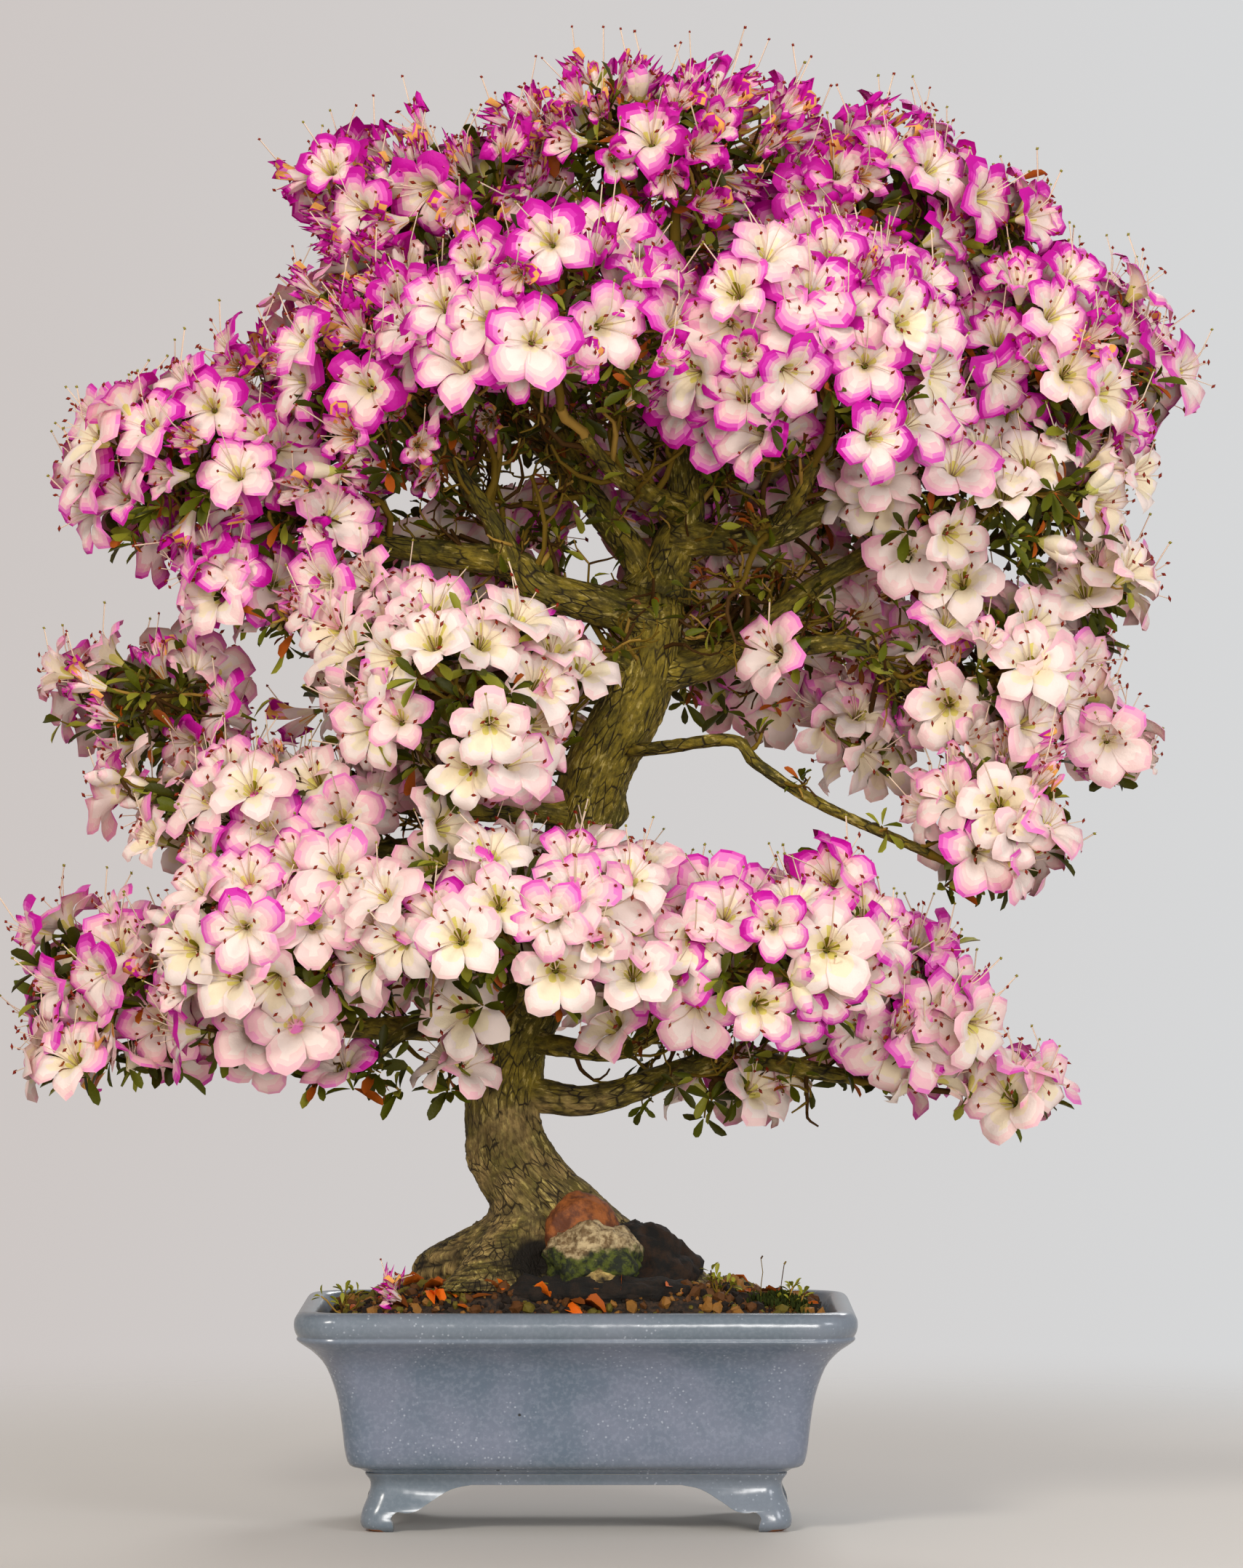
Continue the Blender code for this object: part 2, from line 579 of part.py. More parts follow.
def keep_largest(made):
    """Drops every island of faces but the largest, such as a scrap or the wall of a sealed hollow."""
    shape = bmesh.new()
    shape.from_mesh(made.data)
    bmesh.ops.remove_doubles(shape, verts=shape.verts, dist=WELD)
    bmesh.ops.dissolve_degenerate(shape, edges=shape.edges, dist=WELD)
    unseen = set(shape.verts)
    islands = []
    while unseen:
        front = [unseen.pop()]
        island = set(front)
        while front:
            for edge in front.pop().link_edges:
                for vert in edge.verts:
                    if vert in unseen:
                        unseen.remove(vert)
                        island.add(vert)
                        front.append(vert)
        islands.append(island)
    largest = max(islands, key=len)
    loose = [v for island in islands if island is not largest for v in island]
    bmesh.ops.delete(shape, geom=loose, context="VERTS")
    shape.to_mesh(made.data)
    shape.free()


# The masses

class Spaces:
    """The space that each mass keeps to, and the limbs that nothing may touch."""

    def __init__(self):
        self.middles = np.array([m.middle for m in MASSES])
        self.reaches = np.array([m.reach for m in MASSES])
        trunk = smooth_path([s[:3] for s in TRUNK_STATIONS], 2)
        radii = [r.x * TRUNK_WIDEST for r in smooth_path([(s[3], 0, 0) for s in TRUNK_STATIONS], 2)]
        self.starts, self.ends, self.radii = [], [], []
        self.add_limb(trunk, radii)
        for bough in BOUGHS:
            self.add_limb(*limb_path(bough))

    def add_limb(self, path, radii):
        """Keeps each stretch of a limb with the radius at its start."""
        for a, b, radius in zip(path, path[1:], radii):
            self.starts.append(a)
            self.ends.append(b)
            self.radii.append(radius)

    def touches_limb(self, points, clearance=LIMB_CLEARANCE):
        """Whether any of the points is within the clearance of a limb."""
        starts = np.array(self.starts)
        along = np.array(self.ends) - starts
        points = np.array(points)[:, None, :]
        t = ((points - starts) * along).sum(-1) / (along**2).sum(-1)
        nearest = starts + np.clip(t, 0, 1)[..., None] * along
        gaps = np.linalg.norm(points - nearest, axis=-1) - np.array(self.radii)
        return bool((gaps < clearance).any())

    def leaves(self, points, own):
        """Whether any of the points lies in, or close to, another mass's space or outside the mass's own."""
        away = np.linalg.norm((np.array(points)[:, None, :] - self.middles) / self.reaches, axis=-1)
        others = np.delete(away, own, axis=1).min(axis=1)
        return bool((others - away[:, own] < SPACE_MARGIN).any() or (away[:, own] > FURTHEST_SHARE).any())


def samples_of(shape):
    """The points of a bmesh with the middles of its edges and faces."""
    points = [v.co.copy() for v in shape.verts]
    points += [(e.verts[0].co + e.verts[1].co) / 2 for e in shape.edges]
    points += [f.calc_center_median() for f in shape.faces]
    return points


def towards(place, direction, turn):
    """A matrix that puts a shape at a place with its +Z along the direction, turned about it."""
    turned = Vector(direction).to_track_quat("Z", "Y").to_matrix().to_4x4()
    return Matrix.Translation(place) @ turned @ Matrix.Rotation(turn, 4, "Z")


def thirds():
    """The angles of a three-sided stalk's edges."""
    return [2 * math.pi * k / 3 for k in range(3)]


def stalked_head(root, foot, outward, turn, outline, middle_height):
    """One closed piece: a three-sided stalk from its root to its foot, and a head spread from the foot.

    The outline is the head's edge, as angle, radius and height above the foot, and its middle has a
    height of its own.
    """
    place = towards(foot, outward, turn)
    collar = [place @ Vector((STALK_RADIUS * math.cos(a), STALK_RADIUS * math.sin(a), 0)) for a in thirds()]
    bend = outward.rotation_difference(foot - root)
    sunk = [root + bend @ (point - foot) * STALK_ROOT_SHARE for point in collar]
    edge = [place @ Vector((r * math.cos(a), r * math.sin(a), z)) for a, r, z in outline]
    shape = bmesh.new()
    bottom, low, high = ([shape.verts.new(point) for point in ring] for ring in (sunk, collar, edge))
    peak = shape.verts.new(place @ Vector((0, 0, middle_height)))
    count = len(high)
    shape.faces.new(bottom)
    for k in range(3):
        after = (k + 1) % 3
        shape.faces.new((bottom[k], bottom[after], low[after], low[k]))
        first, last = round(count * k / 3), round(count * (k + 1) / 3)
        shape.faces.new((low[k], low[after], high[last % count]))
        for i in range(first, last):
            shape.faces.new((low[k], high[(i + 1) % count], high[i]))
    for i in range(count):
        shape.faces.new((high[i], high[(i + 1) % count], peak))
    bmesh.ops.recalc_face_normals(shape, faces=shape.faces)
    return shape


def blossom(root, foot, outward, turn):
    """A blossom on its stalk: a five-lobed funnel with an open mouth."""
    outline = []
    for i in range(10):
        notch = i % 2
        radius = BLOSSOM_RADIUS * (NOTCH_SHARE if notch else 1)
        outline.append((math.pi * i / 5, radius, BLOSSOM_LENGTH - NOTCH_DROP * notch))
    return stalked_head(root, foot, outward, turn, outline, BLOSSOM_LENGTH * (1 - THROAT_SHARE))


def leaf_whorl(root, foot, outward, turn):
    """Three leaves round the end of their twig."""
    outline = []
    edge = (
        (LEAF_MEETING_SHARE, -math.pi / 3), (LEAF_WIDEST_SHARE, -LEAF_SPREAD), (1.0, 0.0),
        (LEAF_WIDEST_SHARE, LEAF_SPREAD),
    )
    for middle in thirds():
        for share, turned in edge:
            outline.append((middle + turned, LEAF_LENGTH * share, LEAF_LENGTH * LEAF_RISE * share))
    return stalked_head(root, foot, outward, turn, outline, LEAF_THICKNESS)


def twig(start, end, thick, thin, turn):
    """A straight three-sided twig, from its thick end to its thin one, turned about its line."""
    shape = bmesh.new()
    along = Vector(end) - Vector(start)
    bmesh.ops.create_cone(shape, cap_ends=True, segments=3, radius1=thick, radius2=thin, depth=along.length,
                          matrix=Matrix.Translation((0, 0, along.length / 2)))
    bmesh.ops.transform(shape, matrix=towards(start, along, turn), verts=shape.verts)
    return shape


def core(mass, own, spaces, seed):
    """The lumpy middle of a dense mass, as large as fits clear of limbs and other masses, or None."""
    share = CORE_SHARE
    while share > CORE_LEAST_SHARE:
        shape = bmesh.new()
        bmesh.ops.create_icosphere(shape, subdivisions=1, radius=1.0)
        for vert in shape.verts:
            lump = 1 + CORE_LUMP * noise(vert.co * CORE_LUMP_SCALE + Vector((seed, seed * 3, 0)))
            vert.co = Vector(m + r * c * share * lump for m, r, c in zip(mass.middle, mass.reach, vert.co))
        points = samples_of(shape)
        if not spaces.leaves(points, own) and not spaces.touches_limb(points):
            return shape
        shape.free()
        share -= CORE_STEP
    return None


def spread(count, turn, lowest):
    """Directions spread evenly round a ball, from straight up down to the lowest."""
    golden = math.pi * (3 - math.sqrt(5))
    found = []
    for i in range(count):
        up = 1 - (i + 0.5) / count * (1 - lowest)
        flat = math.sqrt(1 - up * up)
        found.append(Vector((flat * math.cos(turn + golden * i), flat * math.sin(turn + golden * i), up)))
    return found


def stretched(mass, direction, share):
    """The point of a mass that lies in a direction from its middle, at a share of its reach."""
    return Vector(m + r * c * share for m, r, c in zip(mass.middle, mass.reach, direction))


def facing(mass, direction):
    """The way that a blossom looks there: square to the mass's surface, and a little up."""
    square = Vector(c / r for c, r in zip(direction, mass.reach)).normalized()
    return (square + Vector((0, 0, UPWARD_LEAN))).normalized()


def from_trunk(mass):
    """The level direction from the middle of the crown out to the mass, or straight up for a mass over it."""
    level = Vector(mass.middle) - Vector((CROWN_MIDDLE_X, 0, mass.middle[2]))
    aside = level.length > OVER_TRUNK_SHARE * mass.reach[0]
    return level.normalized() if aside else Vector((0, 0, 1))


def stem_of(mass):
    """The mass's stem, from a gap past its bough's tip to its middle."""
    path, radii = limb_path(next(b for b in BOUGHS if b.name == mass.bough))
    heading = (path[-1] - path[-2]).normalized()
    start = path[-1] + heading * GAP
    bend = start + heading * STEM_BEND_SHARE * (Vector(mass.middle) - start).length
    return [start, bend, Vector(mass.middle)], radii[-1]


def tip_count(mass):
    """How many tips cover the mass's surface down to its underside, at their usual spacing."""
    a, b, c = mass.reach
    area = (a * b + b * c + c * a) / 3 * 4 * math.pi
    return round(area * (1 - UNDERSIDE) / 2 / BLOSSOM_SPACING**2)


def mass_pieces(mass, own, spaces):
    """Every closed piece of a mass, the stem first: its core, stalked blossoms and leaves, and side twigs."""
    rng = random.Random(f"{mass.name} {mass.seed}")
    line, radius = stem_of(mass)
    pieces = [loft(tube_rings(line, (radius, STEM_TAPER * radius, TWIG_RADIUS), STEM_SIDES))]
    middle = core(mass, own, spaces, own)
    if middle:
        pieces.append(middle)
    count = tip_count(mass)
    knot_ways = spread(max(FEWEST_KNOTS, count // TIPS_A_KNOT), rng.uniform(0, 6), KNOTS_LOWEST)
    knots = [stretched(mass, way, KNOT_SHARE) for way in knot_ways]
    reached = {}
    mouths = []
    for number, direction in enumerate(spread(count, rng.uniform(0, 6), UNDERSIDE)):
        outward = facing(mass, direction)
        if outward.dot(from_trunk(mass)) < INWARD:
            continue
        turn = rng.uniform(0, 2 * math.pi)
        jitter = Vector((rng.uniform(-1, 1), rng.uniform(-1, 1), rng.uniform(-1, 1))) * ROOT_JITTER
        leafy = number % SPRAY_EVERY == SPRAY_EVERY - 1
        height = LEAF_LENGTH * LEAF_RISE if leafy else BLOSSOM_LENGTH
        for share in MOUTH_SHARES:
            mouth = stretched(mass, direction, share)
            foot = mouth - outward * height
            knot = min(knots, key=lambda k: (k - foot).length)
            head = (leaf_whorl if leafy else blossom)(knot + jitter, foot, outward, turn)
            apart = min(((mouth - other).length for other in mouths), default=1.0)
            if apart > CLOSEST_SHARE * BLOSSOM_RADIUS and clear(head, own, spaces):
                pieces.append(head)
                mouths.append(mouth)
                reached[tuple(knot)] = knot
                break
            head.free()
    for knot in reached.values():
        stem = [line[1].lerp(line[2], step / STEM_STEPS) for step in range(STEM_STEPS + 1)]
        at = min(stem, key=lambda p: (p - knot).length)
        past = (knot - at).normalized() * TWIG_OVERRUN
        root = at + Vector((0, 0, TWIG_LIFT))
        pieces.append(twig(root, knot + past, TWIG_RADIUS, TWIG_END_RADIUS, rng.uniform(0, 3)))
    return pieces


def tube_rings(line, radii, sides):
    """Rings of a tube along a line of points, carried from one to the next without a twist."""
    headings = [line[1] - line[0]]
    headings += [after - before for before, after in zip(line, line[2:])]
    headings.append(line[-1] - line[-2])
    turned = headings[0].to_track_quat("Z", "Y")
    rings = []
    for i, (middle, heading, radius) in enumerate(zip(line, headings, radii)):
        if i:
            turned = headings[i - 1].rotation_difference(heading) @ turned
        ring = []
        for k in range(sides):
            angle = 2 * math.pi * k / sides
            ring.append(middle + turned @ Vector((radius * math.cos(angle), radius * math.sin(angle), 0)))
        rings.append(ring)
    return rings


def clear(shape, own, spaces):
    """Whether a piece keeps to its mass's space and touches no limb. It isn't freed."""
    points = samples_of(shape)
    return not spaces.leaves(points, own) and not spaces.touches_limb(points)


def build_mass(mass, own, spaces, parts, stand):
    """One mass: its pieces joined by one union on a collection, which is then emptied."""
    pieces = mass_pieces(mass, own, spaces)
    made = object_from(pieces[0], mass.name, parts)
    joined = bpy.data.collections.new(mass.name + "_pieces")
    for number, piece in enumerate(pieces[1:]):
        object_from(piece, f"{mass.name}_{number}", joined)
    modifier = made.modifiers.new("joined", "BOOLEAN")
    modifier.operation = "UNION"
    modifier.operand_type = "COLLECTION"
    modifier.collection = joined
    modifier.solver = "EXACT"
    keep_evaluated(made)
    for piece in list(joined.objects):
        bpy.data.objects.remove(piece)
    bpy.data.collections.remove(joined)
    keep_largest(made)
    dress(made, "blossom", stand, smooth=False)
    return made


def main():
    """Builds the pot, the soil, the limbs and the masses, all hung from one empty."""
    clear_scene()
    parts = new_collection("azalea_bonsai")
    helpers = new_collection("azalea_bonsai_cutters")
    stand = bpy.data.objects.new("stand", None)
    stand.location = STAND_AT
    parts.objects.link(stand)
    build_pot(parts, helpers, stand)
    build_soil(parts, stand)
    build_limbs(parts, helpers, stand)
    spaces = Spaces()
    for number, mass in enumerate(MASSES):
        build_mass(mass, number, spaces, parts, stand)


main()
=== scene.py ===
"""The looks of an azalea bonsai in full bloom, in its glazed pot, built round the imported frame.

Units are metres and +Z is up. The pot's middle comes from the frame, and the plant's sizes are given from
there: a trunk and boughs with the bark's relief, twigs that branch on from them by a seeded rule, and
blossoms and leaves at real size on the twigs' tips.
"""

import logging
import math
import random
from collections.abc import Iterable, Sequence
from dataclasses import dataclass, field
from enum import Enum
from typing import NamedTuple

import bmesh
import bpy
import numpy as np
from mathutils import Matrix, Quaternion, Vector, noise


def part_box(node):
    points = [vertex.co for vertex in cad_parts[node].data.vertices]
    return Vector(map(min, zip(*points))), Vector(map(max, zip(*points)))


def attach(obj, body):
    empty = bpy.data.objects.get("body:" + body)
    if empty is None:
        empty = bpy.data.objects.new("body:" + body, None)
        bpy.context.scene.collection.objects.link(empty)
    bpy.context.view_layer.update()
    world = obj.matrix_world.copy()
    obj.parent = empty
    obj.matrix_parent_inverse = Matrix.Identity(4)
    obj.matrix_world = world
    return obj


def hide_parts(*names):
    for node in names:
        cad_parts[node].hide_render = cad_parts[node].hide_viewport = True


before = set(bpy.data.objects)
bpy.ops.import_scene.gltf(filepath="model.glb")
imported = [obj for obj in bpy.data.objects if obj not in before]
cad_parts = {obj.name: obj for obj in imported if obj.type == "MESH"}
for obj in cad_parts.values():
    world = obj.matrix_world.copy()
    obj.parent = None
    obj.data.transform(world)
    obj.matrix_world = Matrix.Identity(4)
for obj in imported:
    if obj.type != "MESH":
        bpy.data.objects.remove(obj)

LOG = logging.getLogger("azalea_bonsai")
NOISE_SEED = 1
BODY = "root"
UP = Vector((0, 0, 1))
GOLDEN_TURN = math.pi * (3 - math.sqrt(5))

Point = tuple[float, float, float]
Colour = tuple[int, int, int]


def linear(colour: Colour) -> tuple[float, float, float, float]:
    """A colour as a shader takes it.

    Args:
        colour: red, green and blue as a screen shows them, from 0 to 255.

    Returns:
        The same colour in linear light, with full opacity.
    """
    shares = [c / 255 for c in colour]
    light = [s / 12.92 if s <= 0.04045 else ((s + 0.055) / 1.055) ** 2.4 for s in shares]
    return (light[0], light[1], light[2], 1.0)


# Finishes

class Nodes:
    """A node tree, written one node at a time."""

    def __init__(self, tree: bpy.types.NodeTree) -> None:
        """Takes the tree that the nodes go into."""
        self.tree = tree

    def link(self, value: object, socket: bpy.types.NodeSocket) -> None:
        """Gives a socket a number, or links another node's output to it."""
        if isinstance(value, bpy.types.NodeSocket):
            self.tree.links.new(value, socket)
        else:
            socket.default_value = value

    def put(self, kind: str, inputs: dict[str | int, object], output: str | int = 0,
            **settings: object) -> bpy.types.NodeSocket:
        """Adds a node.

        Args:
            kind: the node's type.
            inputs: for each input, by name or number, an output to link or a value to set.
            output: the output that is wanted, by name or number.
            settings: properties of the node, by name.

        Returns:
            That output.
        """
        made = self.tree.nodes.new(kind)
        for key, value in settings.items():
            setattr(made, key, value)
        for key, value in inputs.items():
            self.link(value, made.inputs[key])
        return made.outputs[output]

    def math(self, operation: str, a: object, b: object) -> bpy.types.NodeSocket:
        """Two numbers put together by one operation."""
        return self.put("ShaderNodeMath", {0: a, 1: b}, operation=operation)

    def mix(self, share: object, first: object, second: object) -> bpy.types.NodeSocket:
        """Two colours mixed.

        Args:
            share: how much of the second colour there is.
            first: a colour from 0 to 255, or another node's output.
            second: the same.

        Returns:
            The mixed colour.
        """
        ends = [linear(colour) if isinstance(colour, tuple) else colour for colour in (first, second)]
        return self.put("ShaderNodeMix", {"Factor": share, 6: ends[0], 7: ends[1]}, 2, data_type="RGBA")


class Shading(Nodes):
    """A material's nodes, round a Principled shader."""

    def __init__(self, name: str) -> None:
        """Starts a material."""
        self.material = bpy.data.materials.new(name)
        self.material.use_nodes = True
        super().__init__(self.material.node_tree)
        self.shader = self.tree.nodes["Principled BSDF"]
        self.place = self.put("ShaderNodeTexCoord", {}, "Object")

    def clouds(self, scale: float, detail: float = 3.0, rough: float = 0.55,
               at: bpy.types.NodeSocket | None = None) -> bpy.types.NodeSocket:
        """Soft noise from 0 to 1.

        Args:
            scale: how many lumps there are to a metre.
            detail: how many finer layers it has.
            rough: how strong the finer layers are.
            at: the place to read it at, or the object's own.

        Returns:
            The noise's output.
        """
        return self.put("ShaderNodeTexNoise", {
            "Vector": at or self.place, "Scale": scale, "Detail": detail, "Roughness": rough})

    def cells(self, scale: float, feature: str = "F1",
              at: bpy.types.NodeSocket | None = None) -> bpy.types.NodeSocket:
        """The distance from each place to the nearest of many scattered points, or to a cell's edge."""
        return self.put("ShaderNodeTexVoronoi", {"Vector": at or self.place, "Scale": scale}, feature=feature)

    def ramp(self, value: bpy.types.NodeSocket, low: float, high: float) -> bpy.types.NodeSocket:
        """A value stretched so that low becomes 0 and high becomes 1, smoothly."""
        return self.put("ShaderNodeMapRange", {"Value": value, "From Min": low, "From Max": high},
                        interpolation_type="SMOOTHSTEP")

    def flip(self, value: bpy.types.NodeSocket) -> bpy.types.NodeSocket:
        """What a share leaves of 1."""
        return self.math("SUBTRACT", 1.0, value)

    def height(self, low: float, high: float) -> bpy.types.NodeSocket:
        """How high a place is, as a share from 0 at the low height to 1 at the high one."""
        return self.ramp(self.put("ShaderNodeSeparateXYZ", {0: self.place}, "Z"), low, high)

    def attribute(self, name: str, output: str = "Fac") -> bpy.types.NodeSocket:
        """A number or a place kept on the mesh."""
        return self.put("ShaderNodeAttribute", {}, output, attribute_name=name)

    def relief(self, value: bpy.types.NodeSocket, depth: float) -> None:
        """Roughens the surface by a value, to a depth in metres."""
        bump = self.put("ShaderNodeBump", {"Height": value, "Distance": depth})
        self.link(bump, self.shader.inputs["Normal"])

    def finish(self, colour: object, roughness: object, **sockets: float) -> bpy.types.Material:
        """Sets the shader's sockets.

        Args:
            colour: the base colour.
            roughness: the roughness, or an output that gives it.
            sockets: other sockets' values, by name with _ for a space.

        Returns:
            The material.
        """
        self.link(linear(colour) if isinstance(colour, tuple) else colour, self.shader.inputs["Base Color"])
        self.link(roughness, self.shader.inputs["Roughness"])
        for name, value in sockets.items():
            self.shader.inputs[name.replace("_", " ")].default_value = value
        return self.material


@dataclass(frozen=True)
class Plain:
    """A finish of one plain colour, as a petal or a leaf has."""

    name: str
    colour: Colour
    roughness: float = 0.55
    veins: float = 700.0
    vein_depth: float = 0.00025

    def material(self) -> bpy.types.Material:
        """The finish as a material, made the first time that it is asked for."""
        if self.name in bpy.data.materials:
            return bpy.data.materials[self.name]
        made = Shading(self.name)
        made.relief(made.clouds(self.veins, 2), self.vein_depth)
        return made.finish(self.colour, self.roughness, Specular_IOR_Level=0.2)


PETAL_TINTS = (
    Plain("throat_deep", (136, 126, 20), 0.5),
    Plain("throat_green", (222, 208, 114), 0.5),
    Plain("petal_cream", (241, 224, 192), 0.5),
    Plain("petal_white", (240, 221, 211), 0.5),
    Plain("petal_blush", (241, 206, 200), 0.5),
    Plain("petal_pale", (241, 187, 193), 0.5),
    Plain("petal_pink", (239, 161, 191), 0.5),
    Plain("petal_orchid", (233, 124, 192), 0.5),
    Plain("petal_bright", (222, 82, 179), 0.5),
    Plain("petal_magenta", (204, 40, 161), 0.5),
    Plain("petal_deep", (192, 5, 147), 0.5),
)
BLOOM_TINTS = (
    *PETAL_TINTS,
    Plain("filament", (232, 204, 178), 0.5),
    Plain("anther", (132, 34, 10), 0.6),
    Plain("stigma", (140, 130, 40), 0.5),
    Plain("calyx", (104, 104, 16), 0.6),
    Plain("petal_withered", (230, 164, 84), 0.7),
    Plain("bud_green", (216, 210, 110), 0.5),
)
CREAM, WHITE, DEEPEST = 2, 3, 10
FILAMENT, ANTHER, STIGMA, CALYX, WITHERED, BUD_GREEN = range(11, 17)

LEAF_TINTS = (
    Plain("leaf_dark", (58, 58, 2), 0.5),
    Plain("leaf_green", (82, 86, 6), 0.5),
    Plain("leaf_light", (140, 138, 40), 0.5),
    Plain("leaf_russet", (160, 76, 12), 0.6),
    Plain("scale_orange", (184, 88, 14), 0.6),
    Plain("scale_brown", (112, 56, 8), 0.7),
    Plain("leaf_fallen", (222, 104, 18), 0.5),
    Plain("moss_deep", (44, 52, 10), 0.9),
)
DARK_LEAF, GREEN_LEAF, LIGHT_LEAF, RUSSET_LEAF, ORANGE_SCALE, BROWN_SCALE, FALLEN_LEAF, MOSS = range(8)

TWIG_TINTS = (
    Plain("twig_dark", (70, 44, 8), 0.8),
    Plain("twig_olive", (112, 88, 18), 0.8),
    Plain("twig_ochre", (164, 128, 54), 0.8),
)

GRAIN_TINTS = (
    Plain("grain_black", (34, 26, 20), 0.85),
    Plain("grain_brown", (88, 54, 24), 0.7),
    Plain("grain_ochre", (138, 94, 40), 0.6),
    Plain("grain_olive", (98, 86, 28), 0.7),
)


@dataclass(frozen=True)
class Bark:
    """Bark: pale and cracked at the foot, mossy above, its cracks dark both in colour and in painted shade.
    """

    name: str = "bark"
    moss_from: float = 0.200
    moss_to: float = 0.262

    def material(self) -> bpy.types.Material:
        """The finish as a material."""
        made = Shading(self.name)
        crack = made.attribute("crack")
        grain = made.attribute("grain", "Vector")
        grain = made.put("ShaderNodeMapping", {"Vector": grain, "Scale": (1, 1, 0.34)})
        patches = made.clouds(38, 4, 0.6)
        streaks = made.clouds(430, 4, 0.62, grain)
        bare = made.mix(made.ramp(patches, 0.38, 0.62), (160, 134, 80), (106, 93, 40))
        moss = made.mix(made.ramp(patches, 0.36, 0.62), (94, 84, 16), (138, 118, 32))
        wander = made.math("MULTIPLY", made.math("SUBTRACT", patches, 0.5), 0.9)
        mossy = made.ramp(made.math("ADD", made.height(self.moss_from, self.moss_to), wander), 0.2, 0.8)
        colour = made.mix(mossy, bare, moss)
        # Darker where the grain's streaks sink: partly the grain's own tone, partly painted shade in its
        # grooves.
        dark = made.mix(mossy, (70, 48, 22), (44, 38, 4))
        colour = made.mix(made.math("MULTIPLY", made.ramp(streaks, 0.49, 0.40), 0.5), colour, dark)
        # Painted highlight: gold on the raised streaks of the grain, in patches, as light catching the
        # ridges.
        painted_ridge_highlight = made.ramp(made.clouds(55, 3), 0.36, 0.56)
        painted_ridge_highlight = made.math("MULTIPLY", made.ramp(streaks, 0.55, 0.62), painted_ridge_highlight)
        colour = made.mix(made.math("MULTIPLY", painted_ridge_highlight, 0.6), colour, (218, 194, 112))
        # A net of fine sunken cracks painted near-black, partly their own colour and partly painted shade.
        net = made.flip(made.ramp(made.cells(250, "DISTANCE_TO_EDGE", grain), 0.01, 0.085))
        net = made.math("MULTIPLY", net, made.ramp(made.clouds(70, 3), 0.40, 0.58))
        colour = made.mix(made.math("MULTIPLY", net, 0.95), colour, (34, 23, 7))
        # The mesh's cracks are painted near-black, partly as painted shade; its sunken hollow is wholly
        # painted shade.
        colour = made.mix(crack, colour, (20, 13, 3))
        height = made.math("SUBTRACT", streaks, made.math("MULTIPLY", net, 0.4))
        made.relief(made.math("ADD", height, made.math("MULTIPLY", made.clouds(900, 2), 0.3)), 0.0013)
        return made.finish(colour, 0.78, Specular_IOR_Level=0.3)


@dataclass(frozen=True)
class Glaze:
    """The pot's glaze: a mottle of grey-blue and lilac with pale specks, greyer at its bands and edges."""

    name: str = "glaze"

    def material(self) -> bpy.types.Material:
        """The finish as a material."""
        made = Shading(self.name)
        slow = made.ramp(made.clouds(14, 4, 0.6), 0.36, 0.64)
        colour = made.mix(slow, (90, 104, 120), (112, 119, 136))
        colour = made.mix(made.math("MULTIPLY", made.ramp(made.clouds(420, 2), 0.42, 0.7), 0.35), colour,
                          (136, 144, 158))
        edges = made.math("MAXIMUM", made.flip(made.height(0.026, 0.046)), made.height(0.099, 0.110))
        colour = made.mix(made.math("MULTIPLY", edges, 0.5), colour, (112, 122, 126))
        specks = made.flip(made.ramp(made.cells(330), 0.10, 0.24))
        sparse = made.ramp(made.clouds(30, 3), 0.46, 0.62)
        colour = made.mix(made.math("MULTIPLY", specks, made.math("MULTIPLY", sparse, 0.35)), colour,
                          (214, 220, 228))
        pits = made.flip(made.ramp(made.cells(26), 0.022, 0.034))
        colour = made.mix(pits, colour, (34, 34, 34))
        made.relief(made.math("ADD", made.clouds(60, 2), made.math("MULTIPLY", pits, -0.6)), 0.0007)
        return made.finish(colour, 0.24, Coat_Weight=0.4, Coat_Roughness=0.16)


@dataclass(frozen=True)
class BareClay:
    """Fired clay where the glaze ends, under the feet and along the cut edges."""

    name: str
    colour: Colour
    grain: Colour

    def material(self) -> bpy.types.Material:
        """The finish as a material."""
        made = Shading(self.name)
        colour = made.mix(made.ramp(made.clouds(210, 4), 0.38, 0.66), self.colour, self.grain)
        made.relief(made.clouds(700, 3), 0.0006)
        return made.finish(colour, 0.55)


@dataclass(frozen=True)
class Weathered:
    """Wood that has lost its bark, or the dark earth and roots at the trunk's foot, with moss low down."""

    name: str
    light: Colour
    dark: Colour
    scale: float
    roughness: float = 0.8
    relief: float = 0.0018
    moss: tuple[float, float] | None = None

    def material(self) -> bpy.types.Material:
        """The finish as a material."""
        made = Shading(self.name)
        spots = made.clouds(self.scale, 5, 0.65)
        colour = made.mix(made.ramp(spots, 0.36, 0.62), self.light, self.dark)
        if self.moss:
            patchy = made.math("MULTIPLY", made.math("SUBTRACT", made.clouds(70, 4), 0.5), 2.0)
            low = made.math("ADD", made.flip(made.height(*self.moss)), patchy)
            green = made.mix(made.ramp(spots, 0.40, 0.60), (76, 84, 10), (20, 26, 4))
            colour = made.mix(made.ramp(low, 0.30, 0.62), colour, green)
        made.relief(spots, self.relief)
        return made.finish(colour, self.roughness)


# Making meshes

def keep(name: str, mesh: bpy.types.Mesh) -> bpy.types.Object:
    """A new object in the scene that holds a mesh."""
    made = bpy.data.objects.new(name, mesh)
    bpy.context.scene.collection.objects.link(made)
    return made


def show(piece: bpy.types.Object, slot: str, *nodes: str) -> None:
    """Puts a finished piece in the frame.

    Args:
        piece: the piece, in its place about the pot's middle.
        slot: not used.
        nodes: the frame's nodes that it stands for.
    """
    piece.data.transform(Matrix.Translation(stand()))
    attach(piece, BODY)
    if nodes:
        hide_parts(*nodes)
    LOG.info("%s: %d faces", piece.name, len(piece.data.polygons))


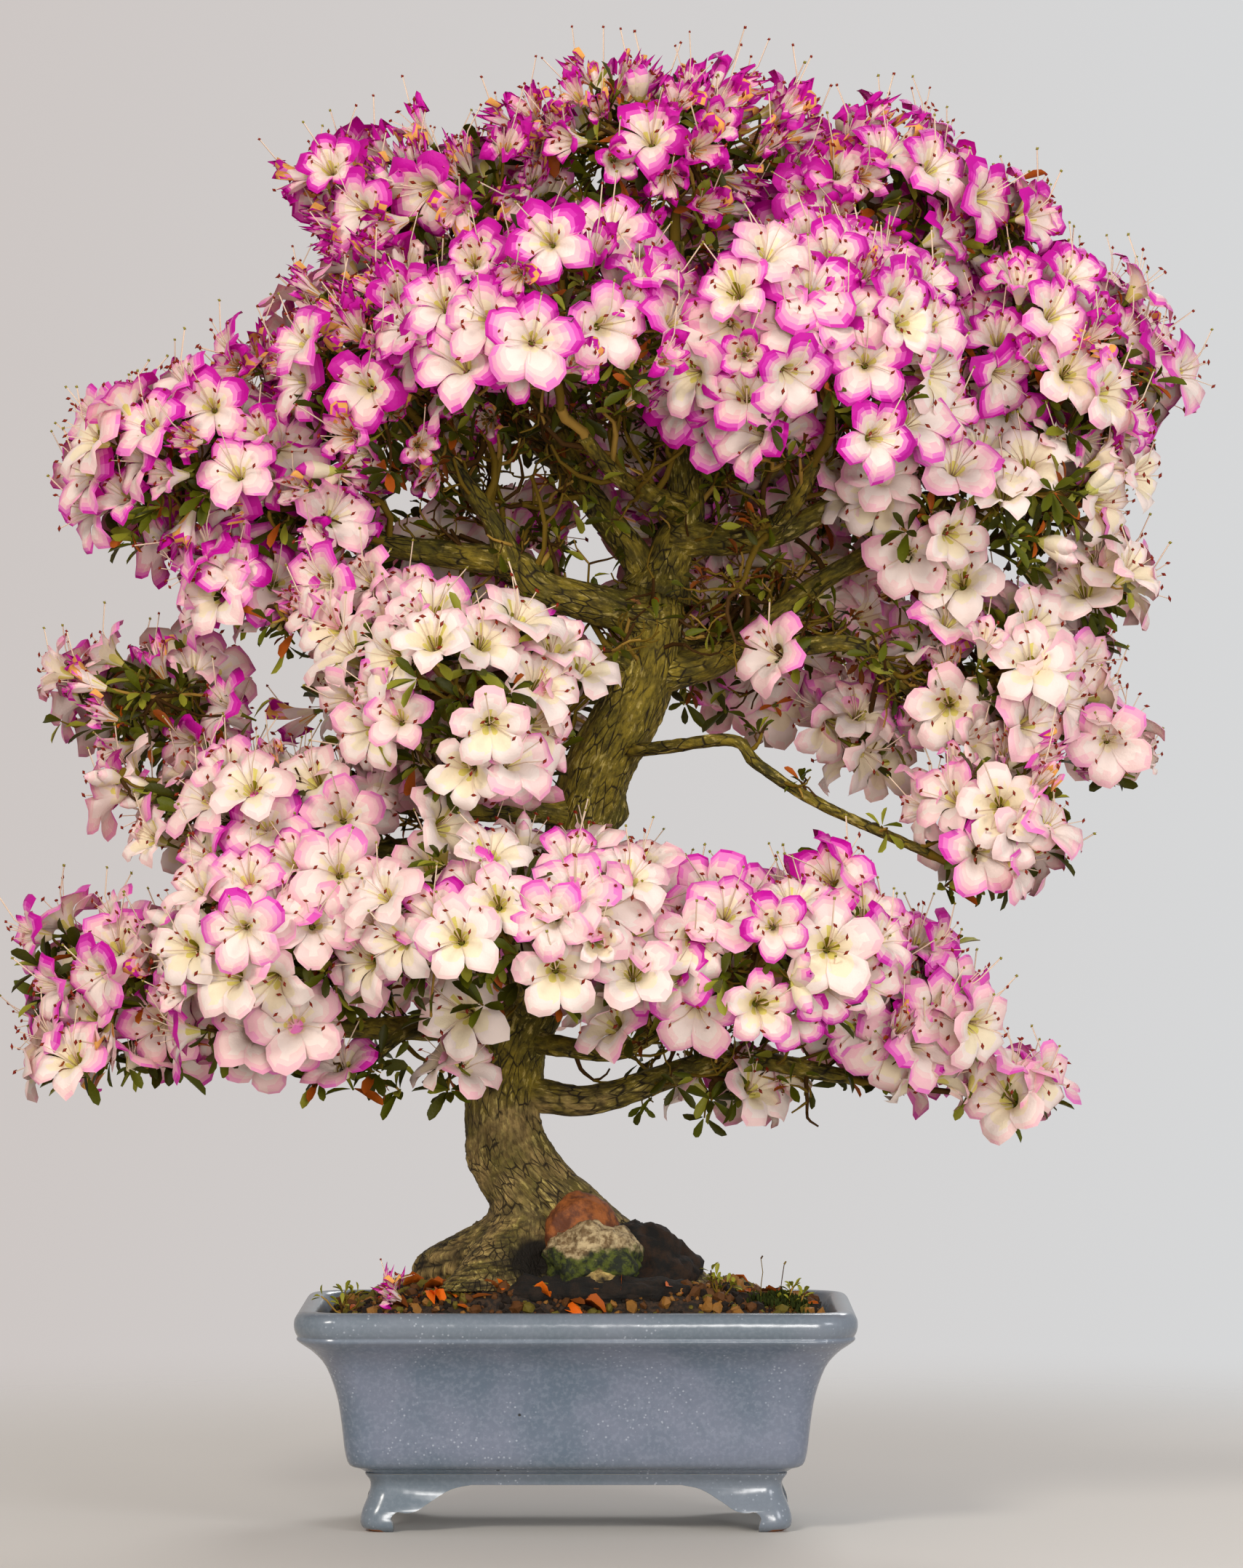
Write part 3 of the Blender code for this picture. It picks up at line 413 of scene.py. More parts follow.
def new_mesh(name: str, points: Sequence[Sequence[float]], faces: Sequence[Sequence[int]] = (),
             edges: Sequence[Sequence[int]] = ()) -> bpy.types.Mesh:
    """A mesh of points with faces or edges."""
    made = bpy.data.meshes.new(name)
    made.from_pydata(points, edges, faces)
    return made


def store(mesh: bpy.types.Mesh, domain: str, kind: str, **values: Sequence[float]) -> None:
    """Keeps numbers on a mesh, each row of them under its own name.

    Args:
        mesh: the mesh.
        domain: what has the numbers, POINT or FACE.
        kind: what they are, such as FLOAT or FLOAT_VECTOR.
        values: the numbers, by the name that they are kept under.
    """
    field_name = "vector" if kind == "FLOAT_VECTOR" else "value"
    for key, given in values.items():
        mesh.attributes.new(key, kind, domain).data.foreach_set(field_name, given)


def settled(shape: bmesh.types.BMesh, name: str) -> bpy.types.Mesh:
    """The mesh of a shape that is done."""
    made = bpy.data.meshes.new(name)
    shape.to_mesh(made)
    shape.free()
    return made


def evaluated(piece: bpy.types.Object) -> bpy.types.Mesh:
    """A piece's mesh as its modifiers leave it."""
    bpy.context.view_layer.update()
    graph = bpy.context.evaluated_depsgraph_get()
    return bpy.data.meshes.new_from_object(piece.evaluated_get(graph))


def smooth_path(points: Sequence[Sequence[float]], steps: int) -> np.ndarray:
    """A smooth path through points of any dimension.

    Args:
        points: what the path passes through.
        steps: how many steps there are between each two.

    Returns:
        The path's points, one to a row.
    """
    given = np.array(points, float)
    ends = np.vstack([2 * given[0] - given[1], given, 2 * given[-1] - given[-2]])
    path = []
    for before, start, end, after in zip(ends, ends[1:], ends[2:], ends[3:]):
        for t in np.arange(steps) / steps:
            path.append(0.5 * (2 * start + (end - before) * t
                               + (2 * before - 5 * start + 4 * end - after) * t**2
                               + (3 * start - before - 3 * end + after) * t**3))
    return np.array([*path, given[-1]])


def ring_faces(rings: int, sides: int, closed_round: bool = True) -> np.ndarray:
    """The four-sided faces of a tube or a strip whose points come ring by ring.

    Args:
        rings: how many rings there are.
        sides: how many points a ring has.
        closed_round: whether the last point joins the first one.

    Returns:
        Four point numbers to a row.
    """
    row = np.arange(sides if closed_round else sides - 1)
    after = (row + 1) % sides
    base = (np.arange(rings - 1) * sides)[:, None]
    return np.stack([base + row, base + after, base + sides + after, base + sides + row], -1).reshape(-1, 4)


def capped_faces(rings: int, sides: int) -> list[list[int]]:
    """The faces of a closed tube, with one over each end."""
    ends = [list(range(sides))[::-1], list(range((rings - 1) * sides, rings * sides))]
    return ring_faces(rings, sides).tolist() + ends


def point_faces(first: int, sides: int, tip: int) -> list[tuple[int, ...]]:
    """The triangles from a ring, given by its first point, to the point that closes it."""
    return [(first + i, first + (i + 1) % sides, tip) for i in range(sides)]


def unit(rows: np.ndarray) -> np.ndarray:
    """Each row, drawn to a length of 1."""
    return rows / np.linalg.norm(rows, axis=1)[:, None]


def run_along(path: np.ndarray) -> np.ndarray:
    """How far along a path each of its points is."""
    return np.concatenate([[0], np.cumsum(np.linalg.norm(np.diff(path, axis=0), axis=1))])


def places_along(path: np.ndarray, distances: np.ndarray) -> np.ndarray:
    """The places at some distances along a path."""
    along = run_along(path)
    return np.stack([np.interp(distances, along, column) for column in path.T], -1)


class Tube:
    """Rings of a tube along a path, carried along it without a twist."""

    def __init__(self, path: np.ndarray, sides: int) -> None:
        """Works out the way across and over at each point of the path."""
        self.path = path
        headings = unit(np.gradient(path, axis=0))
        across = np.array(Vector(headings[0]).orthogonal().normalized())
        frames = []
        for heading in headings:
            across = across - heading * across.dot(heading)
            across /= np.linalg.norm(across)
            frames.append((across, np.cross(heading, across)))
        self.frames = np.array(frames)
        self.angles = 2 * math.pi * np.arange(sides) / sides

    def points(self, radii: np.ndarray) -> np.ndarray:
        """The rings' points, for radii with one value a ring or one a point."""
        turn = self.angles[None, :, None]
        outward = self.frames[:, :1] * np.cos(turn) + self.frames[:, 1:] * np.sin(turn)
        radii = radii[:, None] if radii.ndim == 1 else radii
        return self.path[:, None] + outward * radii[..., None]


@dataclass
class Patchwork:
    """Points and faces gathered for one small mesh, with two numbers kept on each face.

    The place is a tint's number, and the margin is how far the tint moves on where the piece is vivid.
    """

    points: list[Point] = field(default_factory=list)
    faces: list[tuple[int, ...]] = field(default_factory=list)
    place: list[float] = field(default_factory=list)
    margin: list[float] = field(default_factory=list)

    def add(self, points: Iterable[Sequence[float]], faces: Iterable[Sequence[int]],
            place: Sequence[float] | float, margin: Sequence[float] | float = 0.0) -> None:
        """Adds a patch.

        Args:
            points: its points.
            faces: its faces, as numbers of its own points.
            place: the place of each face, or of all of them.
            margin: the same for the margin.
        """
        first = len(self.points)
        self.points += [tuple(p) for p in points]
        fresh = [tuple(int(i) + first for i in f) for f in faces]
        self.faces += fresh
        for kept, given in ((self.place, place), (self.margin, margin)):
            kept += list(given) if isinstance(given, (list, np.ndarray)) else [given] * len(fresh)

    def tube(self, path: Sequence[Sequence[float]], radii: Sequence[float], sides: int, place: float) -> None:
        """Adds a thin tube along a path, with its far end drawn to a point."""
        route = np.array(path, float)
        rings = Tube(route, sides).points(np.array(radii, float)).reshape(-1, 3)
        faces = ring_faces(len(route), sides).tolist()
        faces += point_faces(len(rings) - sides, sides, len(rings))
        faces.append(range(sides)[::-1])
        end = route[-1] + (route[-1] - route[-2]) * 0.1
        self.add([*rings, end], faces, place)

    def pod(self, start: Vector, end: Vector, radius: float, place: float) -> None:
        """Adds a small pointed pod of eight faces, such as an anther."""
        along = (end - start).normalized()
        across = along.orthogonal().normalized()
        over = along.cross(across)
        middle = (start + end) / 2
        ring = [middle + way * radius for way in (across, over, -across, -over)]
        sides = [(0, 1), (1, 2), (2, 3), (3, 0)]
        faces = [(b, a, 4) for a, b in sides] + [(a, b, 5) for a, b in sides]
        self.add([*ring, start, end], faces, place)

    def mesh(self, name: str) -> bpy.types.Mesh:
        """The patches as a smooth mesh."""
        made = new_mesh(name, self.points, self.faces)
        store(made, "FACE", "FLOAT", place=self.place, margin=self.margin)
        made.shade_smooth()
        return made


class GrowthTree(Nodes):
    """A Geometry Nodes tree with named inputs."""

    def __init__(self, name: str, **inputs: str) -> None:
        """Starts a tree.

        Args:
            name: the tree's name.
            inputs: the type of each input's socket, by the input's name.
        """
        super().__init__(bpy.data.node_groups.new(name, "GeometryNodeTree"))
        sockets = self.tree.interface
        for way in ("INPUT", "OUTPUT"):
            sockets.new_socket("Geometry", in_out=way, socket_type="NodeSocketGeometry")
        self.named = {key: sockets.new_socket(key, in_out="INPUT", socket_type=kind)
                      for key, kind in inputs.items()}
        self.given = self.tree.nodes.new("NodeGroupInput").outputs

    def attribute(self, name: str, kind: str = "FLOAT") -> bpy.types.NodeSocket:
        """A number or a turn kept on the points."""
        return self.put("GeometryNodeInputNamedAttribute", {"Name": name}, data_type=kind)

    def end(self, shape: bpy.types.NodeSocket, tint: bpy.types.NodeSocket, finishes: Sequence[Plain]) -> None:
        """Makes the result real, and gives each face the finish whose number its tint is nearest to.

        Args:
            shape: the shape, which may be instances.
            tint: the tint of each face.
            finishes: the finishes, in the order of their numbers.
        """
        shape = self.put("GeometryNodeRealizeInstances", {"Geometry": shape})
        for number, finish in enumerate(finishes):
            chosen = self.put("FunctionNodeCompare", {"A": tint, "B": float(number), "Epsilon": 0.5},
                              data_type="FLOAT", operation="EQUAL")
            shape = self.put("GeometryNodeSetMaterial",
                             {"Geometry": shape, "Selection": chosen, "Material": finish.material()})
        self.tree.links.new(shape, self.tree.nodes.new("NodeGroupOutput").inputs[0])

    def grow(self, on: bpy.types.Object, name: str, **values: object) -> bpy.types.Object:
        """Runs the tree on an object and keeps the result as a plain mesh.

        Args:
            on: the object that the tree starts from, which is removed.
            name: the new piece's name.
            values: the tree's inputs, by name.

        Returns:
            The new piece.
        """
        modifier = on.modifiers.new("growth", "NODES")
        modifier.node_group = self.tree
        for key, value in values.items():
            modifier[self.named[key].identifier] = value
        mesh = evaluated(on)
        on.modifiers.remove(modifier)
        mesh.name = name
        bpy.data.objects.remove(on)
        return keep(name, mesh)


class Placed(NamedTuple):
    """A shape in its place.

    Its foot, its turn and scale, which of the shapes it is, how vivid its margin is, where 1 is the most of a
    plain one, and how far all its tints move along.
    """

    foot: Vector
    turn: Quaternion
    size: float
    variant: int
    vivid: float
    shift: float


class ShapeSet:
    """Shapes of one kind, and the tree that puts one of them on each point."""

    def __init__(self, name: str, meshes: Sequence[bpy.types.Mesh], finishes: Sequence[Plain], last: int,
                 vivid_range: float = 0.0) -> None:
        """Keeps the shapes in a collection, left out of the scene, and writes the tree.

        Args:
            name: the name of the kind.
            meshes: the shapes, in the order of their numbers.
            finishes: the finishes that the shapes' faces choose from.
            last: the last tint that moves with the margin and the shift.
            vivid_range: how many tints further the margin of a wholly vivid shape goes.
        """
        self.shapes = bpy.data.collections.new(name)
        for number, mesh in enumerate(meshes):
            self.shapes.objects.link(bpy.data.objects.new(f"{name}_{number:02d}", mesh))
        self.tree = made = GrowthTree(name, Shapes="NodeSocketCollection")
        picked = made.put("GeometryNodeCollectionInfo", {
            "Collection": made.given["Shapes"], "Separate Children": True, "Reset Children": True})
        placed = made.put("GeometryNodeInstanceOnPoints", {
            "Points": made.given["Geometry"], "Instance": picked, "Pick Instance": True,
            "Instance Index": made.attribute("variant", "INT"),
            "Rotation": made.attribute("facing", "QUATERNION"), "Scale": made.attribute("size")})
        place = made.attribute("place")
        vivid = made.math("MULTIPLY", made.attribute("vivid"), vivid_range)
        tint = made.math("ADD", place, made.math("MULTIPLY", made.attribute("margin"), vivid))
        tint = made.math("ADD", tint, made.attribute("shift"))
        tint = made.math("MINIMUM", made.math("MAXIMUM", tint, 0.0), float(last))
        fixed = made.math("MULTIPLY", place, made.math("GREATER_THAN", place, last + 0.5))
        made.end(placed, made.math("MAXIMUM", tint, fixed), finishes)

    def grow(self, placed: Sequence[Placed], name: str) -> bpy.types.Object:
        """All the shapes in their places, as one piece."""
        feet, turns, sizes, variants, vivids, shifts = zip(*placed)
        mesh = new_mesh(name + "_points", feet)
        store(mesh, "POINT", "QUATERNION", facing=[x for turn in turns for x in turn])
        store(mesh, "POINT", "INT", variant=variants)
        store(mesh, "POINT", "FLOAT", size=sizes, vivid=vivids, shift=shifts)
        return self.tree.grow(keep(mesh.name, mesh), name, Shapes=self.shapes)


def stray(rng: random.Random, mean: Point = (0, 0, 0), reach: Point = (1, 1, 1)) -> Vector:
    """A random step, scattered about a mean."""
    return Vector(rng.gauss(m, r) for m, r in zip(mean, reach))


def facing_turn(facing: Vector, roll: float) -> Quaternion:
    """A turn that looks along a direction with its own +Y as near to upright as can be, then rolls."""
    return facing.to_track_quat("Z", "Y") @ Quaternion((0, 0, 1), roll)


# Blossoms and leaves

class BloomLook(NamedTuple):
    """How far a blossom opens, and what it is like then.

    How wide open it is, how far its lobes are bent about, and half a lobe's width, both as shares of its
    radius, and its size, where 1 is a full blossom.
    """

    openness: float
    crumple: float
    lobe_width: float
    size: float = 1.0


class Bloom(BloomLook, Enum):
    """The ages of a blossom."""

    OPEN = (1.0, 0.080, 0.385)
    FLAT = (1.06, 0.085, 0.40)
    CUPPED = (0.84, 0.080, 0.38)
    HALF = (0.58, 0.06, 0.35, 0.95)
    WILTED = (0.74, 0.16, 0.33, 1.04)
    SPENT = (0.50, 0.22, 0.27, 0.95)

    @property
    def faded(self) -> bool:
        """Whether its petals have begun to dry."""
        return self in (Bloom.WILTED, Bloom.SPENT)


@dataclass(frozen=True)
class Blossom:
    """One blossom: five lobes on a funnel, filaments with anthers, a long pistil, and a calyx."""

    bloom: Bloom
    seed: int
    full_radius: float = 0.0246
    throat: float = 0.075
    depth: float = 0.66
    flare: float = 4.6
    recurve: float = 0.16
    lobe_middle: float = 0.60
    lobe_length: float = 0.40
    outline_turn: float = 2.25
    rows: tuple[float, ...] = (0.0, 0.17, 0.40, 0.58, 0.71, 0.82, 0.92, 1.0)
    columns: int = 8
    streak: float = 0.09
    mottle: float = 0.08
    filaments: int = 5
    filament_radius: float = 0.00032
    anther: tuple[float, float] = (0.0040, 0.0010)

    @property
    def radius(self) -> float:
        """The blossom's radius when wide open."""
        return self.full_radius * self.bloom.size

    def lift(self, reach: np.ndarray) -> np.ndarray:
        """How high the funnel stands at a distance from its axis, both as shares of the radius."""
        rise = self.depth * (1 - np.exp(-self.flare * (reach - self.throat)))
        return rise - self.recurve * np.clip((reach - 0.68) / 0.32, 0, 1.3) ** 2

    def lobe(self, middle: float, rng: random.Random) -> tuple[np.ndarray, np.ndarray, np.ndarray]:
        """One lobe of the corolla.

        Args:
            middle: the angle of its own middle line.
            rng: where its irregularities come from.

        Returns:
            Its points, and each face's place and margin.
        """
        bloom = self.bloom
        across = np.linspace(-1, 1, self.columns)
        turn = across * self.outline_turn
        length = self.lobe_length * rng.uniform(0.92, 1.08)
        width = bloom.lobe_width * rng.uniform(0.94, 1.06)
        edge = np.stack([self.lobe_middle + length * np.cos(turn), width * np.sin(turn)], -1)
        edge *= 1 + 0.03 * np.sin(turn * 4 + rng.uniform(0, 6))[:, None]
        inner = self.throat * np.stack([np.cos(across * math.pi / 5), np.sin(across * math.pi / 5)], -1)
        rows = np.array(self.rows)[:, None, None]
        flat = inner[None] * (1 - rows) + edge[None] * rows
        reach = np.hypot(flat[..., 0], flat[..., 1])
        angle = np.arctan2(flat[..., 1], flat[..., 0])
        v = rows[..., 0]
        u = across[None]
        height = self.lift(reach) + 0.03 * u * v - 0.10 * u**2 * v**3
        height -= 0.04 * np.exp(-((u / 0.25) ** 2)) * v * (1 - 0.5 * v)
        height += bloom.crumple * v**2 * np.sin(turn[None] * 3 + rng.uniform(0, 6))
        height += rng.uniform(-0.16, 0.16) * v * reach
        opened = bloom.openness * (rng.uniform(0.6, 1.2) if bloom.faded else rng.uniform(0.96, 1.04))
        out = reach * (1 - (1 - opened) * np.clip(reach * 1.4, 0, 1))
        height += (1 - opened) * reach * 0.85
        angle = angle + middle
        if bloom.faded:
            angle = angle + rng.uniform(-0.5, 0.5) * v**2
            fold = rng.uniform(0.0, 0.35)
            height = height - fold * v**2 + 0.22 * u**2 * v**2
            height = height + bloom.crumple * 0.6 * np.cos(u * 5 + v * 6 + rng.uniform(0, 6)) * v
            out = out * (1 - 0.18 * v * np.sin(v * 6 + rng.uniform(0, 6)) ** 2)
        points = np.stack([out * np.cos(angle), out * np.sin(angle), height], -1) * self.radius
        return points.reshape(-1, 3), *self.tints(across, math.sin(middle), rng)

    def tints(self, across: np.ndarray, upper: float, rng: random.Random) -> tuple[np.ndarray, np.ndarray]:
        """The tints of a lobe's faces, row by row from the throat.

        Args:
            across: the places of its columns, from -1 to 1.
            upper: how far up the blossom it stands, from -1 to 1.
            rng: where its irregularities come from.

        Returns:
            Each face's place and margin.
        """
        v = (np.array(self.rows[1:]) + np.array(self.rows[:-1])) / 2
        u = (across[1:] + across[:-1]) / 2
        place = np.interp(v, (0.08, 0.26, 0.44), (1.5 - 0.6 * upper, 2.5 - 0.4 * upper, WHITE))[:, None]
        place = place + 0.5 * np.abs(u)[None] * (v[:, None] < 0.44)
        start = 0.26 - 0.05 * upper + 0.06 * np.abs(u)[None] ** 2 + 0.05 * np.exp(-((u / 0.25) ** 2))[None]
        margin = np.clip((v[:, None] - start) / (0.97 - start), 0, 1) ** (1.75 - 0.25 * upper)
        margin *= np.interp(np.abs(u), (0.3, 0.65, 1.0), (1.0, 0.88, 0.34))[None]
        margin *= 0.90 + 0.30 * upper + rng.uniform(-0.08, 0.08)
        streak = np.array([rng.uniform(-1, 1) for _ in u])[None]
        mottle = np.array([rng.uniform(-1, 1) for _ in range(margin.size)]).reshape(margin.shape)
        stray = self.streak * streak + self.mottle * mottle
        margin = np.maximum(margin + stray * np.clip(margin * 4, 0, 1), 0)
        if self.bloom.faded:
            margin = np.clip(margin * 1.15 + 0.30 * v[:, None], 0, 1.3)
            withered = rng.random() < 0.28
            dried = np.array([rng.random() < 0.5 for _ in range(place.size)]).reshape(place.shape)
            dried &= (v[:, None] > 0.45) if withered else (v[:, None] < 0.25)
            place = np.where(dried, WITHERED, place)
        return place.ravel(), margin.ravel()

    def mesh(self) -> bpy.types.Mesh:
        """The blossom, with its foot at the origin and its mouth towards +Z."""
        rng = random.Random(self.seed)
        made = Patchwork()
        start = rng.uniform(-0.15, 0.15) + math.pi / 2
        faces = ring_faces(len(self.rows), self.columns, closed_round=False)[:, ::-1]
        for k in range(5):
            points, place, margin = self.lobe(start + 2 * math.pi * k / 5, rng)
            made.add(points, faces, place, margin)
        self.add_stamens(made, rng)
        foot = self.lift(np.array([self.throat]))[0] * self.radius
        made.tube([(0, 0, -0.010), (0, 0, -0.003), (0, 0, foot)], (0.0007, 0.0012, 0.0018), 4, CALYX)
        return made.mesh(f"blossom_{self.bloom.name.lower()}_{self.seed}")

    def add_stamens(self, made: Patchwork, rng: random.Random) -> None:
        """Adds the filaments, which lean up the blossom in a fan, and the longer pistil.

        Args:
            made: what they are added to.
            rng: where their irregularities come from.
        """
        for k in range(self.filaments):
            side = math.pi / 2 + (k / (self.filaments - 1) - 0.5) * 3.8 + rng.uniform(-0.25, 0.25)
            lean = rng.uniform(0.26, 0.56) * self.bloom.openness
            path = self.stalk(side, lean, rng.uniform(0.78, 1.05), rng)
            made.tube(path, (self.filament_radius,) * len(path), 3, FILAMENT)
            end = Vector(path[-1])
            heading = Vector((math.cos(side + 1.1), math.sin(side + 1.1), rng.uniform(0.1, 0.7))).normalized()
            long, wide = self.anther
            made.pod(end - heading * long / 2, end + heading * long / 2, wide, ANTHER)
        top = rng.uniform(1.2, 1.5) if self.bloom.faded else rng.uniform(0.98, 1.18)
        path = self.stalk(math.pi / 2, 0.92, top, rng, (0.0, 0.35, 0.7, 1.0), 2.6)
        made.tube(path, (self.filament_radius * 1.4,) * len(path), 3, FILAMENT)
        end = Vector(path[-1])
        made.pod(end - UP * 0.0010, end + UP * 0.0013, 0.0010, ANTHER if self.bloom.faded else STIGMA)

    def stalk(self, side: float, lean: float, top: float, rng: random.Random,
              shares: Sequence[float] = (0.0, 0.55, 1.0), curve: float = 1.6) -> list[Point]:
        """A filament's path from the throat, first along the axis and then out and up.

        Args:
            side: the angle round the axis at which it leans out.
            lean: how far out its tip is, as a share of the blossom's radius.
            top: how high its tip is, as such a share.
            rng: where its sideways bow comes from.
            shares: how far along it its points are.
            curve: how late it leans out.

        Returns:
            Its points.
        """
        bow = rng.uniform(-0.25, 0.25)
        path = []
        for t in shares:
            out = (0.03 + lean * t**curve) * self.radius
            turn = side + bow * t
            path.append((out * math.cos(turn), out * math.sin(turn), (0.05 + (top - 0.05) * t) * self.radius))
        return path


@dataclass(frozen=True)
class Bud:
    """A flower bud: a long pointed bud whose rolled petals wind round it."""

    length: float = 0.024
    width: float = 0.0045
    sides: int = 10

    def mesh(self) -> bpy.types.Mesh:
        """The bud, with its foot at the origin and its tip towards +Z."""
        made = Patchwork()
        along = np.array((0.0, 0.08, 0.22, 0.42, 0.62, 0.80, 0.92, 1.0))
        girth = np.array((0.30, 0.55, 0.72, 0.90, 1.0, 0.78, 0.42, 0.10))
        angle = 2 * math.pi * np.arange(self.sides) / self.sides
        turn = angle[None] + 1.2 * along[:, None]
        radius = self.width * girth[:, None] * (1 + 0.14 * np.cos(5 * angle)[None])
        points = np.stack([radius * np.cos(turn), radius * np.sin(turn),
                           np.repeat(along[:, None] * self.length, self.sides, 1)], -1)
        faces = ring_faces(len(along), self.sides)
        tints = (BUD_GREEN, BUD_GREEN, CREAM, CREAM, WHITE, WHITE, WHITE)
        shade = np.repeat(np.array(tints, float), self.sides)
        margin = np.repeat(np.array((0, 0, 0, 0, 0.15, 0.5, 0.8)), self.sides)
        made.add(points.reshape(-1, 3), faces, shade, margin)
        made.tube([(0, 0, -0.009), (0, 0, -0.003), (0, 0, 0.002)], (0.0007, 0.0012, 0.0022), 5, CALYX)
        return made.mesh("bud")


@dataclass(frozen=True)
class Leaf:
    """A small leaf that folds a little along its midrib and bends back towards its tip."""

    length: float
    width: float
    fold: float = 0.28
    arch: float = 0.18

    def mesh(self) -> bpy.types.Mesh:
        """The leaf, with its foot at the origin and its tip towards +X."""
        made = Patchwork()
        along = np.array((0.0, 0.30, 0.64, 0.90, 1.0))
        half = np.array((0.06, 0.30, 0.50, 0.38, 0.06)) * self.width
        side = np.array((-1.0, 0.0, 1.0))
        x = np.repeat(along[:, None] * self.length, 3, 1)
        y = half[:, None] * side
        z = np.abs(y) * self.fold * 2 - self.arch * self.length * (along[:, None] ** 2) + 0 * y
        points = np.stack([x, y, z], -1).reshape(-1, 3)
        made.add(points, ring_faces(len(along), 3, closed_round=False)[:, ::-1], 0.0)
        return made.mesh("leaf")


OPEN_BLOOMS = (Bloom.OPEN, Bloom.FLAT, Bloom.OPEN, Bloom.CUPPED, Bloom.FLAT)
HEADS = (*OPEN_BLOOMS, Bloom.HALF, Bloom.WILTED, Bloom.WILTED, Bloom.WILTED, Bloom.SPENT, Bloom.SPENT)
HALF_HEAD, WILTED_HEADS, BUD_HEAD = 5, range(6, 11), 11
LEAVES = (
    Leaf(0.0155, 0.0056), Leaf(0.0135, 0.0050), Leaf(0.0175, 0.0062), Leaf(0.0105, 0.0044),
    Leaf(0.0085, 0.0030, 0.5, 0.3), Leaf(0.016, 0.008, 0.9, 0.5),
)
WHOLE_LEAVES, SCALE_LEAF, CURLED_LEAF = 4, 4, 5


class SprayLook(NamedTuple):
    """How a part of the crown looks.

    How strong its margins' tint is on the whole, the shares of its blossoms that are cream, wilted and still
    buds, and the share of its tips that carry only leaves.
    """

    vivid: float
    cream: float
    wilted: float
    buds: float
    leafy: float


class Spray(SprayLook, Enum):
    """The looks that the parts of the crown have."""

    FADING_TOP = (1.50, 0.0, 0.74, 0.02, 0.06)
    VIVID_TOP = (1.72, 0.0, 0.28, 0.02, 0.06)
    VIVID = (1.10, 0.08, 0.06, 0.02, 0.09)
    VIVID_LEAFY = (1.14, 0.05, 0.20, 0.04, 0.24)
    MIXED = (1.12, 0.05, 0.56, 0.03, 0.12)
    ROSY = (0.84, 0.28, 0.06, 0.03, 0.15)
    ROSY_LEAFY = (0.84, 0.28, 0.14, 0.03, 0.34)
    PALE = (0.56, 0.48, 0.05, 0.05, 0.16)
    PALE_LEAFY = (0.52, 0.48, 0.08, 0.06, 0.40)
    LEAFY = (0.60, 0.30, 0.05, 0.05, 0.80)


# The limbs, as the frame's solids have them

@dataclass(frozen=True)
class Bough:
    """A tapering limb: its radius at both ends, and points that it passes through."""

    name: str
    thick: float
    thin: float
    through: tuple[Point, ...]


@dataclass(frozen=True)
class Mass:
    """A mass of blossom and leaves, or a small sprig between the masses.

    The bough that carries it, its middle, its reach, its looks, how far down its lowest tips look, and at
    which share of the bough's length its stem leaves.
    """

    name: str
    bough: str
    middle: Point
    reach: Point
    spray: Spray
    lowest: float = -0.95
    leaves_at: float = 1.0

    def at(self, direction: Vector, share: float) -> Vector:
        """The point in a direction from the middle, at a share of the reach."""
        return Vector(m + r * d * share for m, r, d in zip(self.middle, self.reach, direction))

    def depth(self, place: Vector) -> float:
        """How far out a place is, where 0 is the middle and 1 is on the surface."""
        return Vector((p - m) / r for p, m, r in zip(place, self.middle, self.reach)).length


@dataclass(frozen=True)
class Part:
    """A part of the crown: how far apart its twigs' tips are, its masses, and the sprigs between them."""

    name: str
    tip_spacing: float
    masses: tuple[Mass, ...]
    sprigs: tuple[Mass, ...] = ()


FRONT_SPACING = 0.0308
BACK_SPACING = 0.0375

TRUNK_STATIONS = (
    (-0.012, 0, 0.1303, 0.064), (-0.012, 0, 0.142, 0.056), (-0.013, 0, 0.156, 0.045),
    (-0.014, 0, 0.17, 0.0328), (-0.0235, 0.001, 0.184, 0.03), (-0.0345, 0.002, 0.198, 0.0255),
    (-0.0392, 0.004, 0.213, 0.0215), (-0.041, 0.006, 0.232, 0.0198), (-0.036, 0.01, 0.258, 0.0192),
    (-0.024, 0.012, 0.285, 0.019), (-0.012, 0.012, 0.314, 0.0188), (-0.003, 0.01, 0.352, 0.0186),
    (0.004, 0.008, 0.388, 0.0188), (0.014, 0.006, 0.416, 0.0184), (0.029, 0.004, 0.444, 0.018),
    (0.038, 0.002, 0.468, 0.0172), (0.042, 0, 0.494, 0.016), (0.043, 0, 0.514, 0.0146),
)

